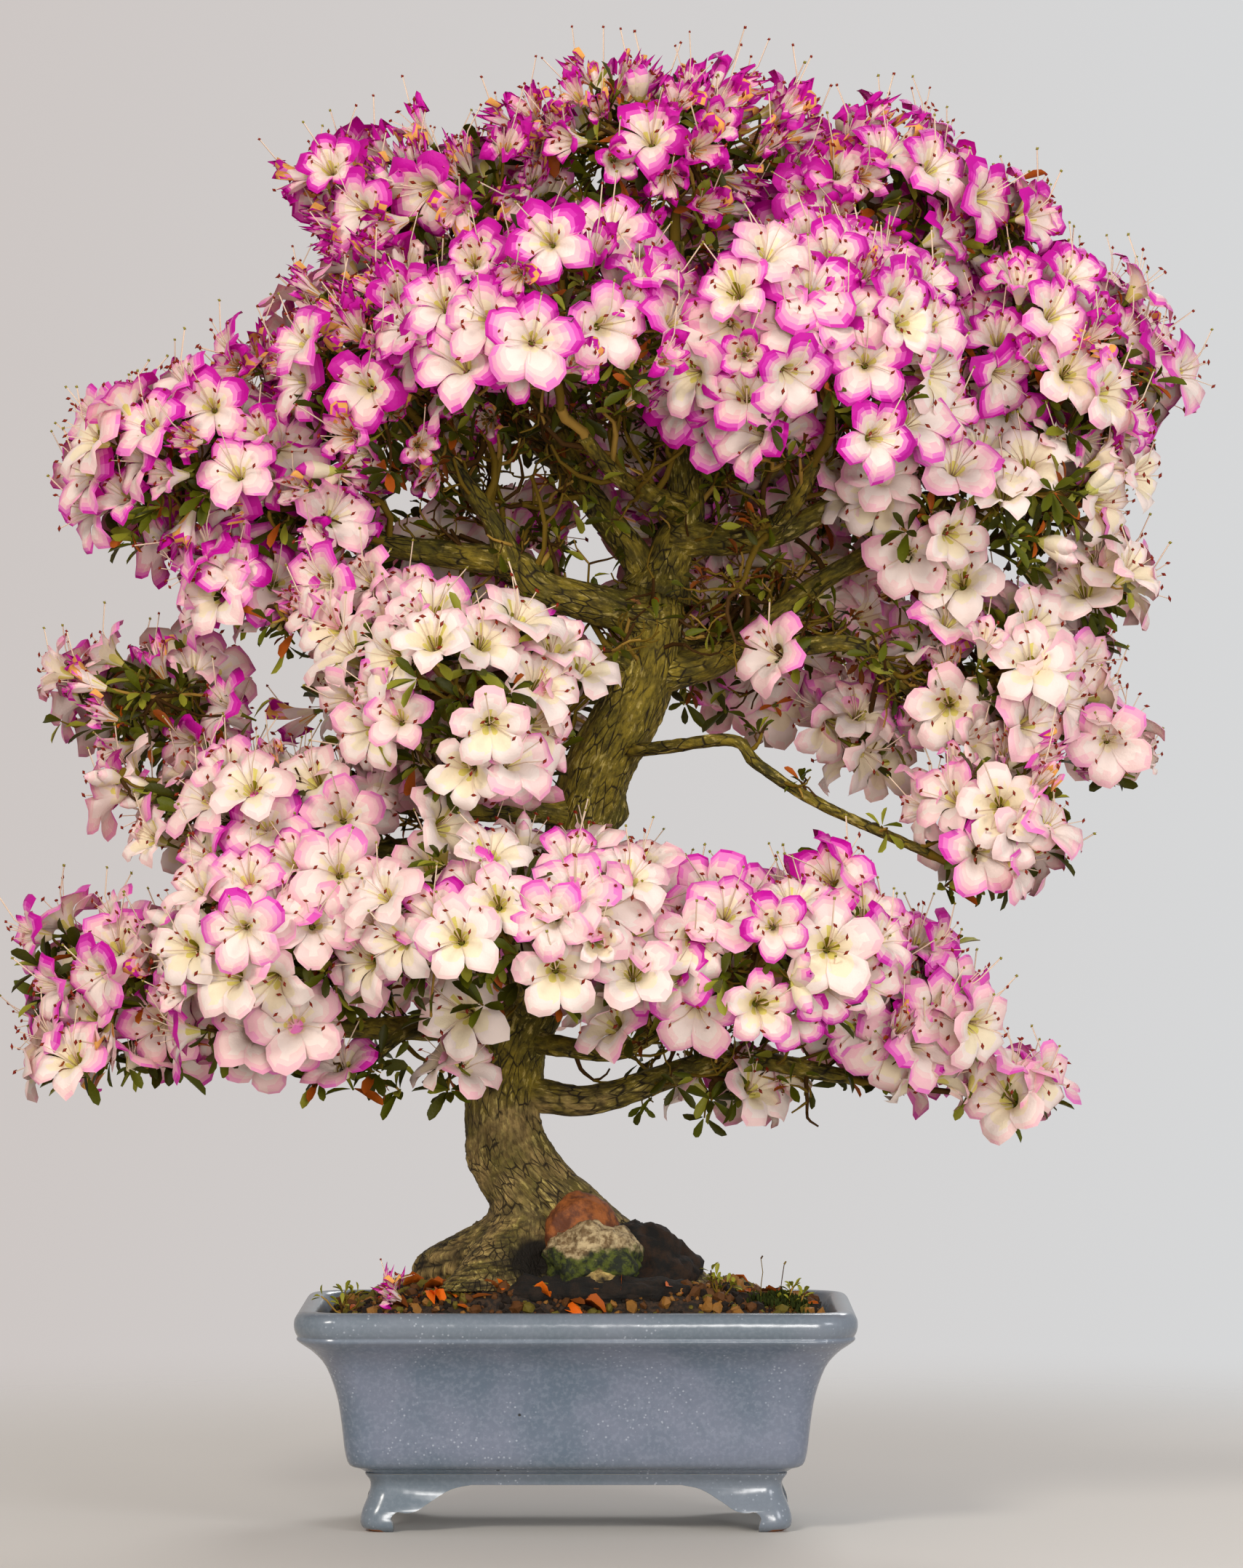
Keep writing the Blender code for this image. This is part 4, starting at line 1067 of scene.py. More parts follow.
BOUGHS = (
    Bough("leader_right", 0.0134, 0.005, (
        (0.0432, 0, 0.508), (0.052, 0, 0.532), (0.06, 0, 0.552), (0.057, 0, 0.592), (0.053, 0, 0.64),
        (0.054, 0, 0.7))),
    Bough("leader_left", 0.0105, 0.0042, (
        (0.042, 0, 0.5), (0.031, 0, 0.529), (0.003, 0.01, 0.567), (-0.022, 0.018, 0.62),
        (-0.04, 0.02, 0.672))),
    Bough("bough_right_upper", 0.0092, 0.004, (
        (0.055, 0, 0.539), (0.086, -0.01, 0.536), (0.112, -0.018, 0.541), (0.142, -0.02, 0.557),
        (0.19, -0.018, 0.59))),
    Bough("branch_right_top", 0.0078, 0.0036, (
        (0.059, 0, 0.575), (0.083, 0.02, 0.592), (0.111, 0.03, 0.632), (0.135, 0.028, 0.674))),
    Bough("branch_right_front", 0.0058, 0.0034, (
        (0.104, -0.016, 0.54), (0.117, -0.042, 0.553), (0.128, -0.066, 0.575))),
    Bough("branch_front", 0.0066, 0.0036, (
        (0.06, 0, 0.554), (0.043, -0.02, 0.56), (0.022, -0.048, 0.57), (0.004, -0.072, 0.59))),
    Bough("bough_left_upper", 0.0128, 0.005, (
        (0.041, 0.001, 0.494), (0.023, -0.01, 0.498), (-0.019, -0.025, 0.51), (-0.035, -0.02, 0.523),
        (-0.093, -0.01, 0.532), (-0.152, 0, 0.548))),
    Bough("branch_left_shoulder", 0.0068, 0.0036, (
        (-0.036, -0.02, 0.523), (-0.046, -0.03, 0.547), (-0.078, -0.03, 0.59))),
    Bough("branch_left_front", 0.0066, 0.0036, (
        (0.036, 0.002, 0.466), (0.012, -0.02, 0.474), (-0.012, -0.042, 0.472), (-0.034, -0.062, 0.464))),
    Bough("bough_right_middle", 0.0112, 0.0042, (
        (0.038, 0.002, 0.464), (0.067, 0, 0.468), (0.087, 0, 0.478), (0.128, -0.01, 0.51),
        (0.166, -0.016, 0.534))),
    Bough("branch_right_arching", 0.0068, 0.0036, (
        (0.086, 0, 0.477), (0.108, -0.02, 0.477), (0.15, -0.031, 0.479), (0.17, -0.03, 0.464),
        (0.186, -0.024, 0.451))),
    Bough("branch_right_hanging", 0.0042, 0.0026, (
        (0.016, 0.005, 0.421), (0.045, -0.022, 0.423), (0.085, -0.042, 0.427), (0.098, -0.046, 0.414),
        (0.131, -0.05, 0.393), (0.19, -0.05, 0.366))),
    Bough("bough_left_middle", 0.0088, 0.0042, (
        (0.003, 0.008, 0.386), (-0.021, -0.01, 0.389), (-0.053, -0.02, 0.389), (-0.104, -0.022, 0.392))),
    Bough("bough_left_rising", 0.0086, 0.0036, (
        (-0.011, 0.012, 0.314), (-0.037, 0.01, 0.333), (-0.077, 0.012, 0.366), (-0.122, 0.02, 0.367),
        (-0.176, 0.026, 0.372), (-0.204, 0.026, 0.41))),
    Bough("bough_left_lower", 0.0092, 0.0042, (
        (-0.037, 0.009, 0.256), (-0.061, 0, 0.269), (-0.119, 0, 0.27), (-0.192, 0, 0.275))),
    Bough("branch_left_hooked", 0.0046, 0.003, (
        (-0.07, 0, 0.27), (-0.092, -0.022, 0.269), (-0.11, -0.038, 0.256), (-0.125, -0.05, 0.254),
        (-0.138, -0.056, 0.269))),
    Bough("branch_lower_front", 0.0072, 0.0038, (
        (-0.028, 0.011, 0.276), (-0.03, -0.03, 0.288), (-0.033, -0.07, 0.302))),
    Bough("bough_right_lower", 0.0108, 0.0042, (
        (-0.041, 0.007, 0.237), (-0.013, 0, 0.232), (0.015, 0, 0.232), (0.083, 0, 0.252), (0.15, 0, 0.243))),
    Bough("branch_right_lower_front", 0.0072, 0.0036, (
        (-0.034, 0.01, 0.264), (-0.005, -0.012, 0.26), (0.023, -0.024, 0.258), (0.056, -0.044, 0.276))),
    Bough("branch_back_left", 0.0066, 0.0038, (
        (0.002, 0.011, 0.569), (-0.02, 0.045, 0.59), (-0.046, 0.074, 0.62))),
    Bough("branch_back_right", 0.007, 0.0038, (
        (0.059, 0, 0.562), (0.074, 0.036, 0.576), (0.092, 0.07, 0.606))),
    Bough("branch_back_middle_right", 0.0066, 0.0038, (
        (0.041, 0.001, 0.482), (0.06, 0.036, 0.479), (0.08, 0.07, 0.482))),
    Bough("branch_back_middle_left", 0.0068, 0.0038, (
        (0.008, 0.007, 0.402), (-0.01, 0.045, 0.416), (-0.034, 0.078, 0.432))),
    Bough("branch_back_lower", 0.0074, 0.004, (
        (-0.02, 0.012, 0.296), (-0.012, 0.046, 0.302), (-0.014, 0.072, 0.309))),
)

PARTS = (
    Part("crown_top", FRONT_SPACING, (
        Mass("mass_apex", "leader_right", (0.05, 0, 0.747), (0.086, 0.088, 0.056), Spray.FADING_TOP),
        Mass("mass_right_top", "branch_right_top", (0.156, 0.02, 0.723), (0.072, 0.085, 0.06),
             Spray.VIVID_TOP),
    ), (
        Mass("sprig_apex_left", "leader_right", (-0.024, -0.01, 0.759), (0.024, 0.036, 0.016),
             Spray.FADING_TOP),
    )),
    Part("crown_left", FRONT_SPACING, (
        Mass("mass_left_top", "leader_left", (-0.071, 0.01, 0.716), (0.08, 0.088, 0.054), Spray.FADING_TOP),
        Mass("mass_left_shoulder", "branch_left_shoulder", (-0.106, -0.03, 0.625), (0.063, 0.09, 0.073),
             Spray.MIXED),
        Mass("mass_left_wing", "bough_left_upper", (-0.213, 0, 0.579), (0.074, 0.085, 0.054), Spray.VIVID),
    ), (
        Mass("sprig_left_fork", "bough_left_upper", (-0.15, -0.04, 0.553), (0.04, 0.04, 0.034),
             Spray.MIXED, leaves_at=0.7),
        Mass("sprig_left_hanging", "bough_left_upper", (-0.192, -0.02, 0.516), (0.032, 0.04, 0.024),
             Spray.VIVID, leaves_at=0.85),
        Mass("sprig_top_left", "leader_left", (-0.138, 0, 0.733), (0.02, 0.04, 0.02), Spray.FADING_TOP),
        Mass("sprig_shoulder_left", "branch_left_shoulder", (-0.182, -0.01, 0.633), (0.022, 0.036, 0.015),
             Spray.MIXED),
    )),
    Part("crown_right", FRONT_SPACING, (
        Mass("mass_front_centre", "branch_front", (-0.012, -0.115, 0.642), (0.088, 0.085, 0.066),
             Spray.VIVID_LEAFY, lowest=-0.6),
        Mass("mass_right_front", "branch_right_front", (0.13, -0.11, 0.634), (0.082, 0.085, 0.076),
             Spray.VIVID, lowest=-0.7),
        Mass("mass_right_outer", "bough_right_upper", (0.258, -0.01, 0.629), (0.078, 0.09, 0.066),
             Spray.VIVID),
    ), (
        Mass("sprig_right_shoulder", "branch_right_top", (0.238, 0, 0.71), (0.032, 0.045, 0.026),
             Spray.VIVID),
    )),
    Part("middle_right", FRONT_SPACING, (
        Mass("mass_right_low", "bough_right_middle", (0.225, -0.03, 0.555), (0.085, 0.085, 0.05),
             Spray.PALE_LEAFY),
        Mass("mass_right_arching", "branch_right_arching", (0.232, 0, 0.466), (0.07, 0.085, 0.05),
             Spray.PALE_LEAFY),
        Mass("mass_right_hanging", "branch_right_hanging", (0.229, -0.055, 0.385), (0.05, 0.055, 0.046),
             Spray.PALE),
    ), (
        Mass("sprig_back_hanging", "branch_right_arching", (0.16, 0.03, 0.434), (0.034, 0.034, 0.03),
             Spray.PALE, leaves_at=0.6),
        Mass("sprig_arching_tip", "branch_right_arching", (0.298, -0.01, 0.428), (0.025, 0.034, 0.022),
             Spray.PALE_LEAFY),
        Mass("sprig_right_low", "bough_right_middle", (0.29, -0.02, 0.518), (0.026, 0.04, 0.024),
             Spray.PALE),
        Mass("sprig_fork_front", "bough_right_middle", (0.108, -0.05, 0.476), (0.008, 0.008, 0.006),
             Spray.PALE, leaves_at=0.5),
    )),
    Part("crown_back", BACK_SPACING, (
        Mass("mass_back_left", "branch_back_left", (-0.08, 0.13, 0.655), (0.1, 0.085, 0.08), Spray.ROSY),
        Mass("mass_back_right", "branch_back_right", (0.112, 0.135, 0.655), (0.11, 0.085, 0.084),
             Spray.VIVID),
    )),
    Part("back_middle", BACK_SPACING, (
        Mass("mass_back_middle_right", "branch_back_middle_right", (0.101, 0.13, 0.49), (0.09, 0.08, 0.056),
             Spray.PALE),
        Mass("mass_back_lower", "branch_back_lower", (-0.034, 0.13, 0.322), (0.116, 0.08, 0.056),
             Spray.PALE),
        Mass("mass_back_middle_left", "branch_back_middle_left", (-0.077, 0.135, 0.456), (0.089, 0.08, 0.058),
             Spray.PALE),
    ), (
        Mass("sprig_under_crown", "branch_back_middle_left", (-0.078, 0.1, 0.54), (0.072, 0.05, 0.036),
             Spray.ROSY),
        Mass("sprig_behind_fork", "branch_back_middle_right", (0.1, 0.09, 0.552), (0.082, 0.05, 0.038),
             Spray.ROSY),
        Mass("sprig_between_leaders", "branch_back_right", (0.01, 0.088, 0.592), (0.048, 0.04, 0.03),
             Spray.ROSY_LEAFY, leaves_at=0.5),
    )),
    Part("middle_left", FRONT_SPACING, (
        Mass("mass_left_middle_front", "branch_left_front", (-0.06, -0.115, 0.453), (0.072, 0.085, 0.058),
             Spray.PALE),
        Mass("mass_left_middle_outer", "bough_left_rising", (-0.236, 0.03, 0.446), (0.052, 0.065, 0.042),
             Spray.ROSY_LEAFY),
        Mass("mass_left_middle", "bough_left_middle", (-0.168, -0.045, 0.394), (0.08, 0.075, 0.033),
             Spray.PALE),
    ), (
        Mass("sprig_left_middle_top", "bough_left_middle", (-0.122, -0.06, 0.5), (0.036, 0.04, 0.022),
             Spray.PALE, leaves_at=0.6),
        Mass("sprig_gap_top", "bough_left_upper", (-0.166, -0.04, 0.498), (0.028, 0.03, 0.008),
             Spray.ROSY_LEAFY, leaves_at=0.8),
        Mass("sprig_left_middle_low", "bough_left_middle", (-0.249, -0.04, 0.405), (0.018, 0.034, 0.017),
             Spray.PALE),
        Mass("sprig_left_middle_end", "bough_left_rising", (-0.284, 0.02, 0.464), (0.018, 0.03, 0.012),
             Spray.LEAFY),
    )),
    Part("lower", FRONT_SPACING, (
        Mass("mass_left_lower_outer", "bough_left_lower", (-0.25, 0, 0.293), (0.063, 0.08, 0.052),
             Spray.ROSY_LEAFY),
        Mass("mass_left_lower_front", "branch_left_hooked", (-0.158, -0.08, 0.322), (0.074, 0.08, 0.056),
             Spray.PALE),
        Mass("mass_lower_front", "branch_lower_front", (-0.032, -0.125, 0.332), (0.088, 0.08, 0.054),
             Spray.PALE),
    ), (
        Mass("sprig_front_of_trunk", "bough_left_lower", (-0.072, -0.06, 0.25), (0.018, 0.018, 0.02),
             Spray.PALE, leaves_at=0.3),
        Mass("sprig_left_under", "bough_left_lower", (-0.26, -0.03, 0.258), (0.042, 0.04, 0.016),
             Spray.ROSY),
        Mass("sprig_hook_leaves", "branch_left_hooked", (-0.122, -0.064, 0.25), (0.034, 0.026, 0.012),
             Spray.LEAFY, leaves_at=0.7),
        Mass("sprig_hook_under", "branch_left_hooked", (-0.184, -0.07, 0.272), (0.038, 0.034, 0.018),
             Spray.ROSY),
    )),
    Part("lower_right", FRONT_SPACING, (
        Mass("mass_right_lower_front", "branch_right_lower_front", (0.096, -0.08, 0.306), (0.09, 0.09, 0.054),
             Spray.ROSY, lowest=-0.75),
        Mass("mass_right_lower_outer", "bough_right_lower", (0.184, -0.01, 0.274), (0.052, 0.085, 0.037),
             Spray.ROSY),
    ), (
        Mass("sprig_right_rising", "branch_right_lower_front", (0.142, -0.07, 0.354), (0.02, 0.03, 0.014),
             Spray.VIVID),
        Mass("sprig_right_upper", "bough_right_lower", (0.194, -0.02, 0.317), (0.026, 0.034, 0.016),
             Spray.VIVID),
        Mass("sprig_right_end", "bough_right_lower", (0.247, -0.01, 0.238), (0.027, 0.034, 0.021),
             Spray.ROSY),
        Mass("sprig_right_under", "bough_right_lower", (0.088, 0.01, 0.24), (0.034, 0.03, 0.016),
             Spray.PALE, leaves_at=0.5),
    )),
)
MASSES = tuple(mass for part in PARTS for mass in part.masses)


class Limbs:
    """The middle line and radius of the trunk and of every bough."""

    taper_power = 0.75

    def __init__(self) -> None:
        """Works out every limb's line, with x, y, z and the radius in each row."""
        self.lines = {"trunk": smooth_path(TRUNK_STATIONS, 16)}
        for bough in BOUGHS:
            self.lines[bough.name] = self.tapered(bough)
        self.samples = np.vstack(list(self.lines.values()))

    def tapered(self, bough: Bough, step: float = 0.003) -> np.ndarray:
        """A bough's line.

        Args:
            bough: the bough.
            step: the distance from one row to the next.

        Returns:
            Rows of x, y, z and radius, evenly spaced.
        """
        path = smooth_path(bough.through, 8)
        length = run_along(path)[-1]
        even = np.linspace(0, length, max(4, round(length / step)))
        share = (even / even[-1]) ** self.taper_power
        return np.column_stack([places_along(path, even), bough.thick + (bough.thin - bough.thick) * share])

    def clearance(self, place: Vector) -> float:
        """How far a place is from the surface of the nearest limb."""
        away = np.linalg.norm(self.samples[:, :3] - np.array(place), axis=1)
        return float((away - self.samples[:, 3]).min())


# Bark

@dataclass(frozen=True)
class BarkRelief:
    """The relief of bark: plates that long cracks part, with finer grain on them."""

    plate: float = 0.0056
    plate_length: float = 0.0130
    crack_depth: float = 0.0013
    crack_width: float = 0.25
    grain: float = 0.0005
    grains_a_metre: float = 320
    bulge: float = 0.0004
    warp: float = 0.0045
    warps_a_metre: float = 70

    def at(self, x: float, y: float, along: float, strength: float) -> tuple[float, float]:
        """The relief at a place.

        Args:
            x: the place across the limb.
            y: the place over the limb.
            along: how far along the limb it is.
            strength: how deep the cracks are, where 1 is full depth.

        Returns:
            The height in metres, and how far down a crack the place is from 0 to 1.
        """
        spot = Vector((x, y, along))
        spot += noise.noise_vector(spot * self.warps_a_metre) * self.warp
        cell = Vector((spot.x / self.plate, spot.y / self.plate, spot.z / self.plate_length))
        near, second = noise.voronoi(cell)[0][:2]
        crack = max(0.0, 1 - (second - near) / self.crack_width) * strength
        fine = noise.fractal(spot * self.grains_a_metre, 0.8, 2.1, 3)
        return self.grain * fine - self.crack_depth * crack + self.bulge * strength * near, min(1.0, crack)


def barked_mesh(name: str, points: np.ndarray, crack: np.ndarray, grain: np.ndarray) -> bpy.types.Mesh:
    """A closed mesh through rings of points, with the bark's cracks and grain kept on the points.

    Args:
        name: the mesh's name.
        points: the rings, from one end to the other.
        crack: how far down a crack each point is, with the painted shade of the trunk's hollow kept in it.
        grain: each point's place across, over and along the limb.

    Returns:
        The mesh.
    """
    mesh = new_mesh(name, points.reshape(-1, 3).tolist(), capped_faces(*points.shape[:2]))
    store(mesh, "POINT", "FLOAT", crack=crack.ravel())
    store(mesh, "POINT", "FLOAT_VECTOR", grain=grain.ravel())
    mesh.shade_smooth()
    return mesh


@dataclass(frozen=True)
class Swelling:
    """A place where the trunk's bark stands out, or sinks where that is less than nothing.

    Its angle round the trunk and its height, how far it reaches both ways, how far out it stands, and how
    dark it is painted, which where it sinks is painted shade.
    """

    angle: float
    z: float
    wide: float
    high: float
    out: float
    dark: float = 0.0


@dataclass(frozen=True)
class TrunkBark:
    """The trunk with its root flare, flutes and cracked bark."""

    sides: int = 112
    soil_level: float = 0.130
    root_top: float = 0.190
    root_count: int = 6
    root_turns: tuple[float, float] = (0.6, 2.1)
    root_swell: float = 0.20
    root_power: float = 1.3
    root_widen: float = 0.18
    root_flatten: float = 0.12
    level_below: float = 0.190
    level_run: float = 0.05
    flute_depth: float = 0.055
    swellings: tuple[Swelling, ...] = (
        Swelling(0.20, 0.392, 0.009, 0.009, 0.006),
        Swelling(math.pi, 0.146, 0.022, 0.0115, 0.0115),
        # A sunken hollow, painted dark all through as painted shade.
        Swelling(-1.80, 0.146, 0.0150, 0.0150, -0.0105, 1.0),
        Swelling(0.10, 0.240, 0.016, 0.0150, 0.0030),
    )
    relief: BarkRelief = BarkRelief()

    def low(self, z: np.ndarray) -> np.ndarray:
        """How far down the root flare a height is, from 0 to 1."""
        return np.clip((self.root_top - z) / (self.root_top - self.soil_level), 0, 1)

    def swell(self, angle: np.ndarray, z: np.ndarray) -> np.ndarray:
        """How far the roots stand out of the trunk, as a share of its radius."""
        wave = np.cos(self.root_count * angle + self.root_turns[0])
        wave = wave + 0.5 * np.cos((self.root_count - 2) * angle + self.root_turns[1])
        return 1 + self.root_swell * self.low(z) ** self.root_power * wave

    def mesh(self, line: np.ndarray) -> bpy.types.Mesh:
        """The trunk's bark.

        Args:
            line: rows of x, y, z and radius up the trunk.

        Returns:
            The mesh.
        """
        middle, radius = line[:, :3], line[:, 3]
        heading = unit(np.gradient(middle, axis=0))
        leant = np.clip((middle[:, 2] - self.level_below) / self.level_run, 0, 1)[:, None]
        heading = unit(np.array((0, 0, 1)) * (1 - leant) + heading * leant)
        across = unit(np.array((1.0, 0, 0)) - heading * heading[:, :1])
        back = np.cross(heading, across)
        angle = (2 * math.pi * np.arange(self.sides) / self.sides)[None]
        z = middle[:, 2][:, None]
        low = self.low(z)
        size = radius[:, None] * self.swell(angle, z)
        twist = z * 9
        flutes = np.cos(5 * angle + twist + 1.3 * np.sin(z * 31)) + 0.6 * np.cos(8 * angle - twist * 1.7)
        size = size * (1 + self.flute_depth * flutes * (0.5 + 0.8 * low))
        # Painted shade: how dark each point of a sunken swelling is painted.
        dark = np.zeros(size.shape)
        for place in self.swellings:
            arc = np.angle(np.exp(1j * (angle - place.angle))) * radius[:, None]
            reach = np.exp(-((z - place.z) / place.high) ** 2 - (arc / place.wide) ** 2)
            size = size + place.out * reach
            dark = np.maximum(dark, place.dark * np.clip(reach * 2.2 - 0.5, 0, 1))
        height = np.zeros(size.shape)
        crack = np.zeros(size.shape)
        along = np.broadcast_to(run_along(middle)[:, None], size.shape)
        grain = np.stack([size * np.cos(angle), size * np.sin(angle), along], -1)
        for i in range(len(line)):
            strength = 0.45 + 0.75 * float(low[i, 0])
            for j in range(self.sides):
                height[i, j], crack[i, j] = self.relief.at(*grain[i, j], strength)
        size = size + height
        # The hollow's painted shade goes in with the cracks, which the bark paints near-black.
        crack = np.maximum(crack, dark)
        wide = size * (1 + self.root_widen * low) * np.cos(angle)
        deep = size * (1 - self.root_flatten * low) * np.sin(angle)
        points = middle[:, None] + across[:, None] * wide[..., None] + back[:, None] * deep[..., None]
        return barked_mesh("trunk_bark", points, crack, grain)


@dataclass(frozen=True)
class BoughBark:
    """A bough with a collar where it leaves its parent, lumps, and the bark's relief."""

    sides: int = 24
    collar: float = 0.5
    collar_run: float = 0.012
    lumps: float = 0.10
    relief: BarkRelief = BarkRelief(0.0055, 0.013, 0.0006, 0.22, 0.00035)

    def mesh(self, name: str, line: np.ndarray) -> bpy.types.Mesh:
        """One bough's bark.

        Args:
            name: the mesh's name.
            line: rows of x, y, z and radius along the bough.

        Returns:
            The mesh.
        """
        middle = line[:, :3]
        tube = Tube(middle, self.sides)
        along = run_along(middle)
        swell = 1 + self.collar * np.exp(-((along / self.collar_run) ** 2))
        radius = np.repeat((line[:, 3] * swell)[:, None], self.sides, 1)
        crack = np.zeros(radius.shape)
        grain = np.zeros((*radius.shape, 3))
        offset = 0.37 * len(line)
        for i in range(len(line)):
            for j, angle in enumerate(tube.angles):
                x = radius[i, j] * math.cos(angle)
                y = radius[i, j] * math.sin(angle)
                lump = noise.noise(Vector((x * 60, y * 60, along[i] * 55 + offset)))
                grain[i, j] = x, y, along[i] + offset
                height, crack[i, j] = self.relief.at(*grain[i, j], 0.7)
                radius[i, j] += radius[i, j] * self.lumps * lump + height
        return barked_mesh(name, tube.points(radius), crack, grain)


def joined(name: str, meshes: Sequence[bpy.types.Mesh]) -> bpy.types.Mesh:
    """One mesh of several, which are then dropped."""
    shape = bmesh.new()
    for mesh in meshes:
        shape.from_mesh(mesh)
        bpy.data.meshes.remove(mesh)
    return settled(shape, name)


@dataclass(frozen=True)
class Wood:
    """The trunk, its boughs and its surface roots, all in bark."""

    limbs: Limbs
    roots: tuple[tuple[float, float, float], ...] = (
        (3.05, 0.086, 0.0085), (3.75, 0.074, 0.0070), (5.55, 0.064, 0.0065), (0.15, 0.078, 0.0090),
        (0.95, 0.072, 0.0070), (2.10, 0.078, 0.0075),
    )
    root_start: float = 0.034
    flare_middle: float = -0.012

    def build(self) -> None:
        """Builds the trunk piece and the boughs piece."""
        bark = Bark().material()
        roots = [BoughBark(collar=0.3).mesh("root", self.root_line(*root)) for root in self.roots]
        trunk = TrunkBark().mesh(self.limbs.lines["trunk"])
        names = [bough.name for bough in BOUGHS]
        boughs = [BoughBark().mesh(name, self.limbs.lines[name]) for name in names]
        pieces = {"trunk_bark": ([trunk, *roots], ["trunk"]), "boughs_bark": (boughs, names)}
        for name, (meshes, nodes) in pieces.items():
            piece = keep(name, joined(name, meshes))
            piece.data.materials.append(bark)
            show(piece, "bark", *nodes)

    def root_line(self, turn: float, reach: float, radius: float) -> np.ndarray:
        """A surface root's line, out from the trunk's foot and down into the soil.

        Args:
            turn: the angle round the trunk at which it starts.
            reach: how far out it runs.
            radius: its radius at the trunk.

        Returns:
            Rows of x, y, z and radius.
        """
        stations = ((self.root_start, 0.158, 1.0), (0.55 * reach, 0.1400, 0.95), (0.8 * reach, 0.1320, 0.75),
                    (reach, 0.1290, 0.5), (reach + 0.012, 0.1255, 0.3))
        bend = 0.25 * math.sin(5 * turn)
        rows = []
        for share, (out, z, width) in enumerate(stations):
            angle = turn + bend * (share / 4) ** 2
            x = self.flare_middle + out * math.cos(angle)
            rows.append((x, 0.85 * out * math.sin(angle), z, radius * width))
        return smooth_path(rows, 8)


@dataclass(frozen=True)
class Lump:
    """A lump on the trunk: a healed scar, bare dead wood, a burl or moss."""

    name: str
    finish: Weathered
    middle: Point
    half: Point
    roughness: float
    grain: float
    ripple: float = 0.0
    fineness: int = 5

    def mesh(self) -> bpy.types.Mesh:
        """The lump as a closed mesh."""
        shape = bmesh.new()
        bmesh.ops.create_icosphere(shape, subdivisions=self.fineness, radius=1)
        for vertex in shape.verts:
            way = vertex.co.normalized()
            place = Vector(m + h * w for m, h, w in zip(self.middle, self.half, way))
            rough = self.roughness * noise.fractal(place * self.grain, 0.7, 2.0, 4)
            rough += self.ripple * math.cos(9 * math.hypot(way.x, way.z) + 3 * noise.noise(place * 90))
            vertex.co = place + way * rough
        made = settled(shape, self.name)
        made.shade_smooth()
        made.materials.append(self.finish.material())
        return made


CALLUS = Weathered("callus", (152, 84, 30), (92, 44, 12), 150, 0.7, 0.0014)
DEAD_WOOD = Weathered("dead_wood", (190, 168, 126), (104, 80, 46), 210, moss=(0.140, 0.162))
EARTH = Weathered("earth", (34, 22, 10), (12, 8, 3), 160, 0.95)
BURL = Weathered("burl", (46, 28, 12), (12, 8, 4), 130, 0.95)
CUT_WOOD = Weathered("cut_wood", (186, 124, 60), (90, 56, 24), 260)

LUMPS = (
    Lump("callus", CALLUS, (0.0025, -0.0238, 0.1585), (0.0215, 0.0180, 0.0235), 0.0011, 90, 0.0006),
    Lump("dead_wood", DEAD_WOOD, (0.0100, -0.0380, 0.1465), (0.0268, 0.0190, 0.0200), 0.0048, 62),
    Lump("earth", EARTH, (0.0080, -0.0460, 0.1285), (0.0560, 0.0200, 0.0095), 0.0045, 80),
    Lump("burl", BURL, (0.0325, -0.0085, 0.1275), (0.0345, 0.0265, 0.0375), 0.0050, 60),
    Lump("stub_scar", CUT_WOOD, (0.0300, -0.0130, 0.4997), (0.0075, 0.0050, 0.0070), 0.0008, 160, 0.0005),
)


# The crown

@dataclass
class Twigs:
    """Twigs gathered as lines, with a radius and a tint at each point."""

    points: list[Vector] = field(default_factory=list)
    edges: list[tuple[int, int]] = field(default_factory=list)
    radii: list[float] = field(default_factory=list)
    tints: list[float] = field(default_factory=list)

    def add(self, start: Vector, end: Vector, thick: float, thin: float, rng: random.Random,
            bow: float = 0.12, steps: int = 4) -> list[Vector]:
        """Adds a knobby twig that bows and wavers a little.

        Args:
            start: where it leaves its parent.
            end: its tip.
            thick: its radius at the start.
            thin: its radius at the tip.
            rng: where its bends come from.
            bow: how far it bows, as a share of its length.
            steps: how many lengths it is made of.

        Returns:
            The places that it runs through.
        """
        run = end - start
        side = Vector((rng.uniform(-1, 1), rng.uniform(-1, 1), rng.uniform(-1, 0.4)))
        side -= run * side.dot(run) / max(run.length_squared, 1e-9)
        side = side * bow * run.length
        kink = Vector((rng.uniform(-1, 1), rng.uniform(-1, 1), rng.uniform(-1, 1))) * 0.05 * run.length
        first = len(self.points)
        tint = rng.choice((0.0, 0.0, 1.0, 1.0, 1.0, 2.0))
        for step in range(steps + 1):
            t = step / steps
            wave = kink * math.sin(2 * math.pi * t)
            self.points.append(start + run * t + side * 4 * t * (1 - t) + wave)
            self.radii.append((thick + (thin - thick) * t) * rng.uniform(0.82, 1.22))
            self.tints.append(tint)
        self.edges += [(first + i, first + i + 1) for i in range(steps)]
        return self.points[first:]

    def grow(self, tree: GrowthTree, name: str, sides: int = 5) -> bpy.types.Object:
        """The twigs as one piece of thin tubes.

        Args:
            tree: the tree that makes tubes of them.
            name: the piece's name.
            sides: how many sides a tube has.

        Returns:
            The piece.
        """
        mesh = new_mesh(name + "_lines", self.points, edges=self.edges)
        store(mesh, "POINT", "FLOAT", thickness=self.radii, tint=self.tints)
        made = tree.grow(keep(mesh.name, mesh), name, Sides=sides)
        made.data.shade_smooth()
        return made


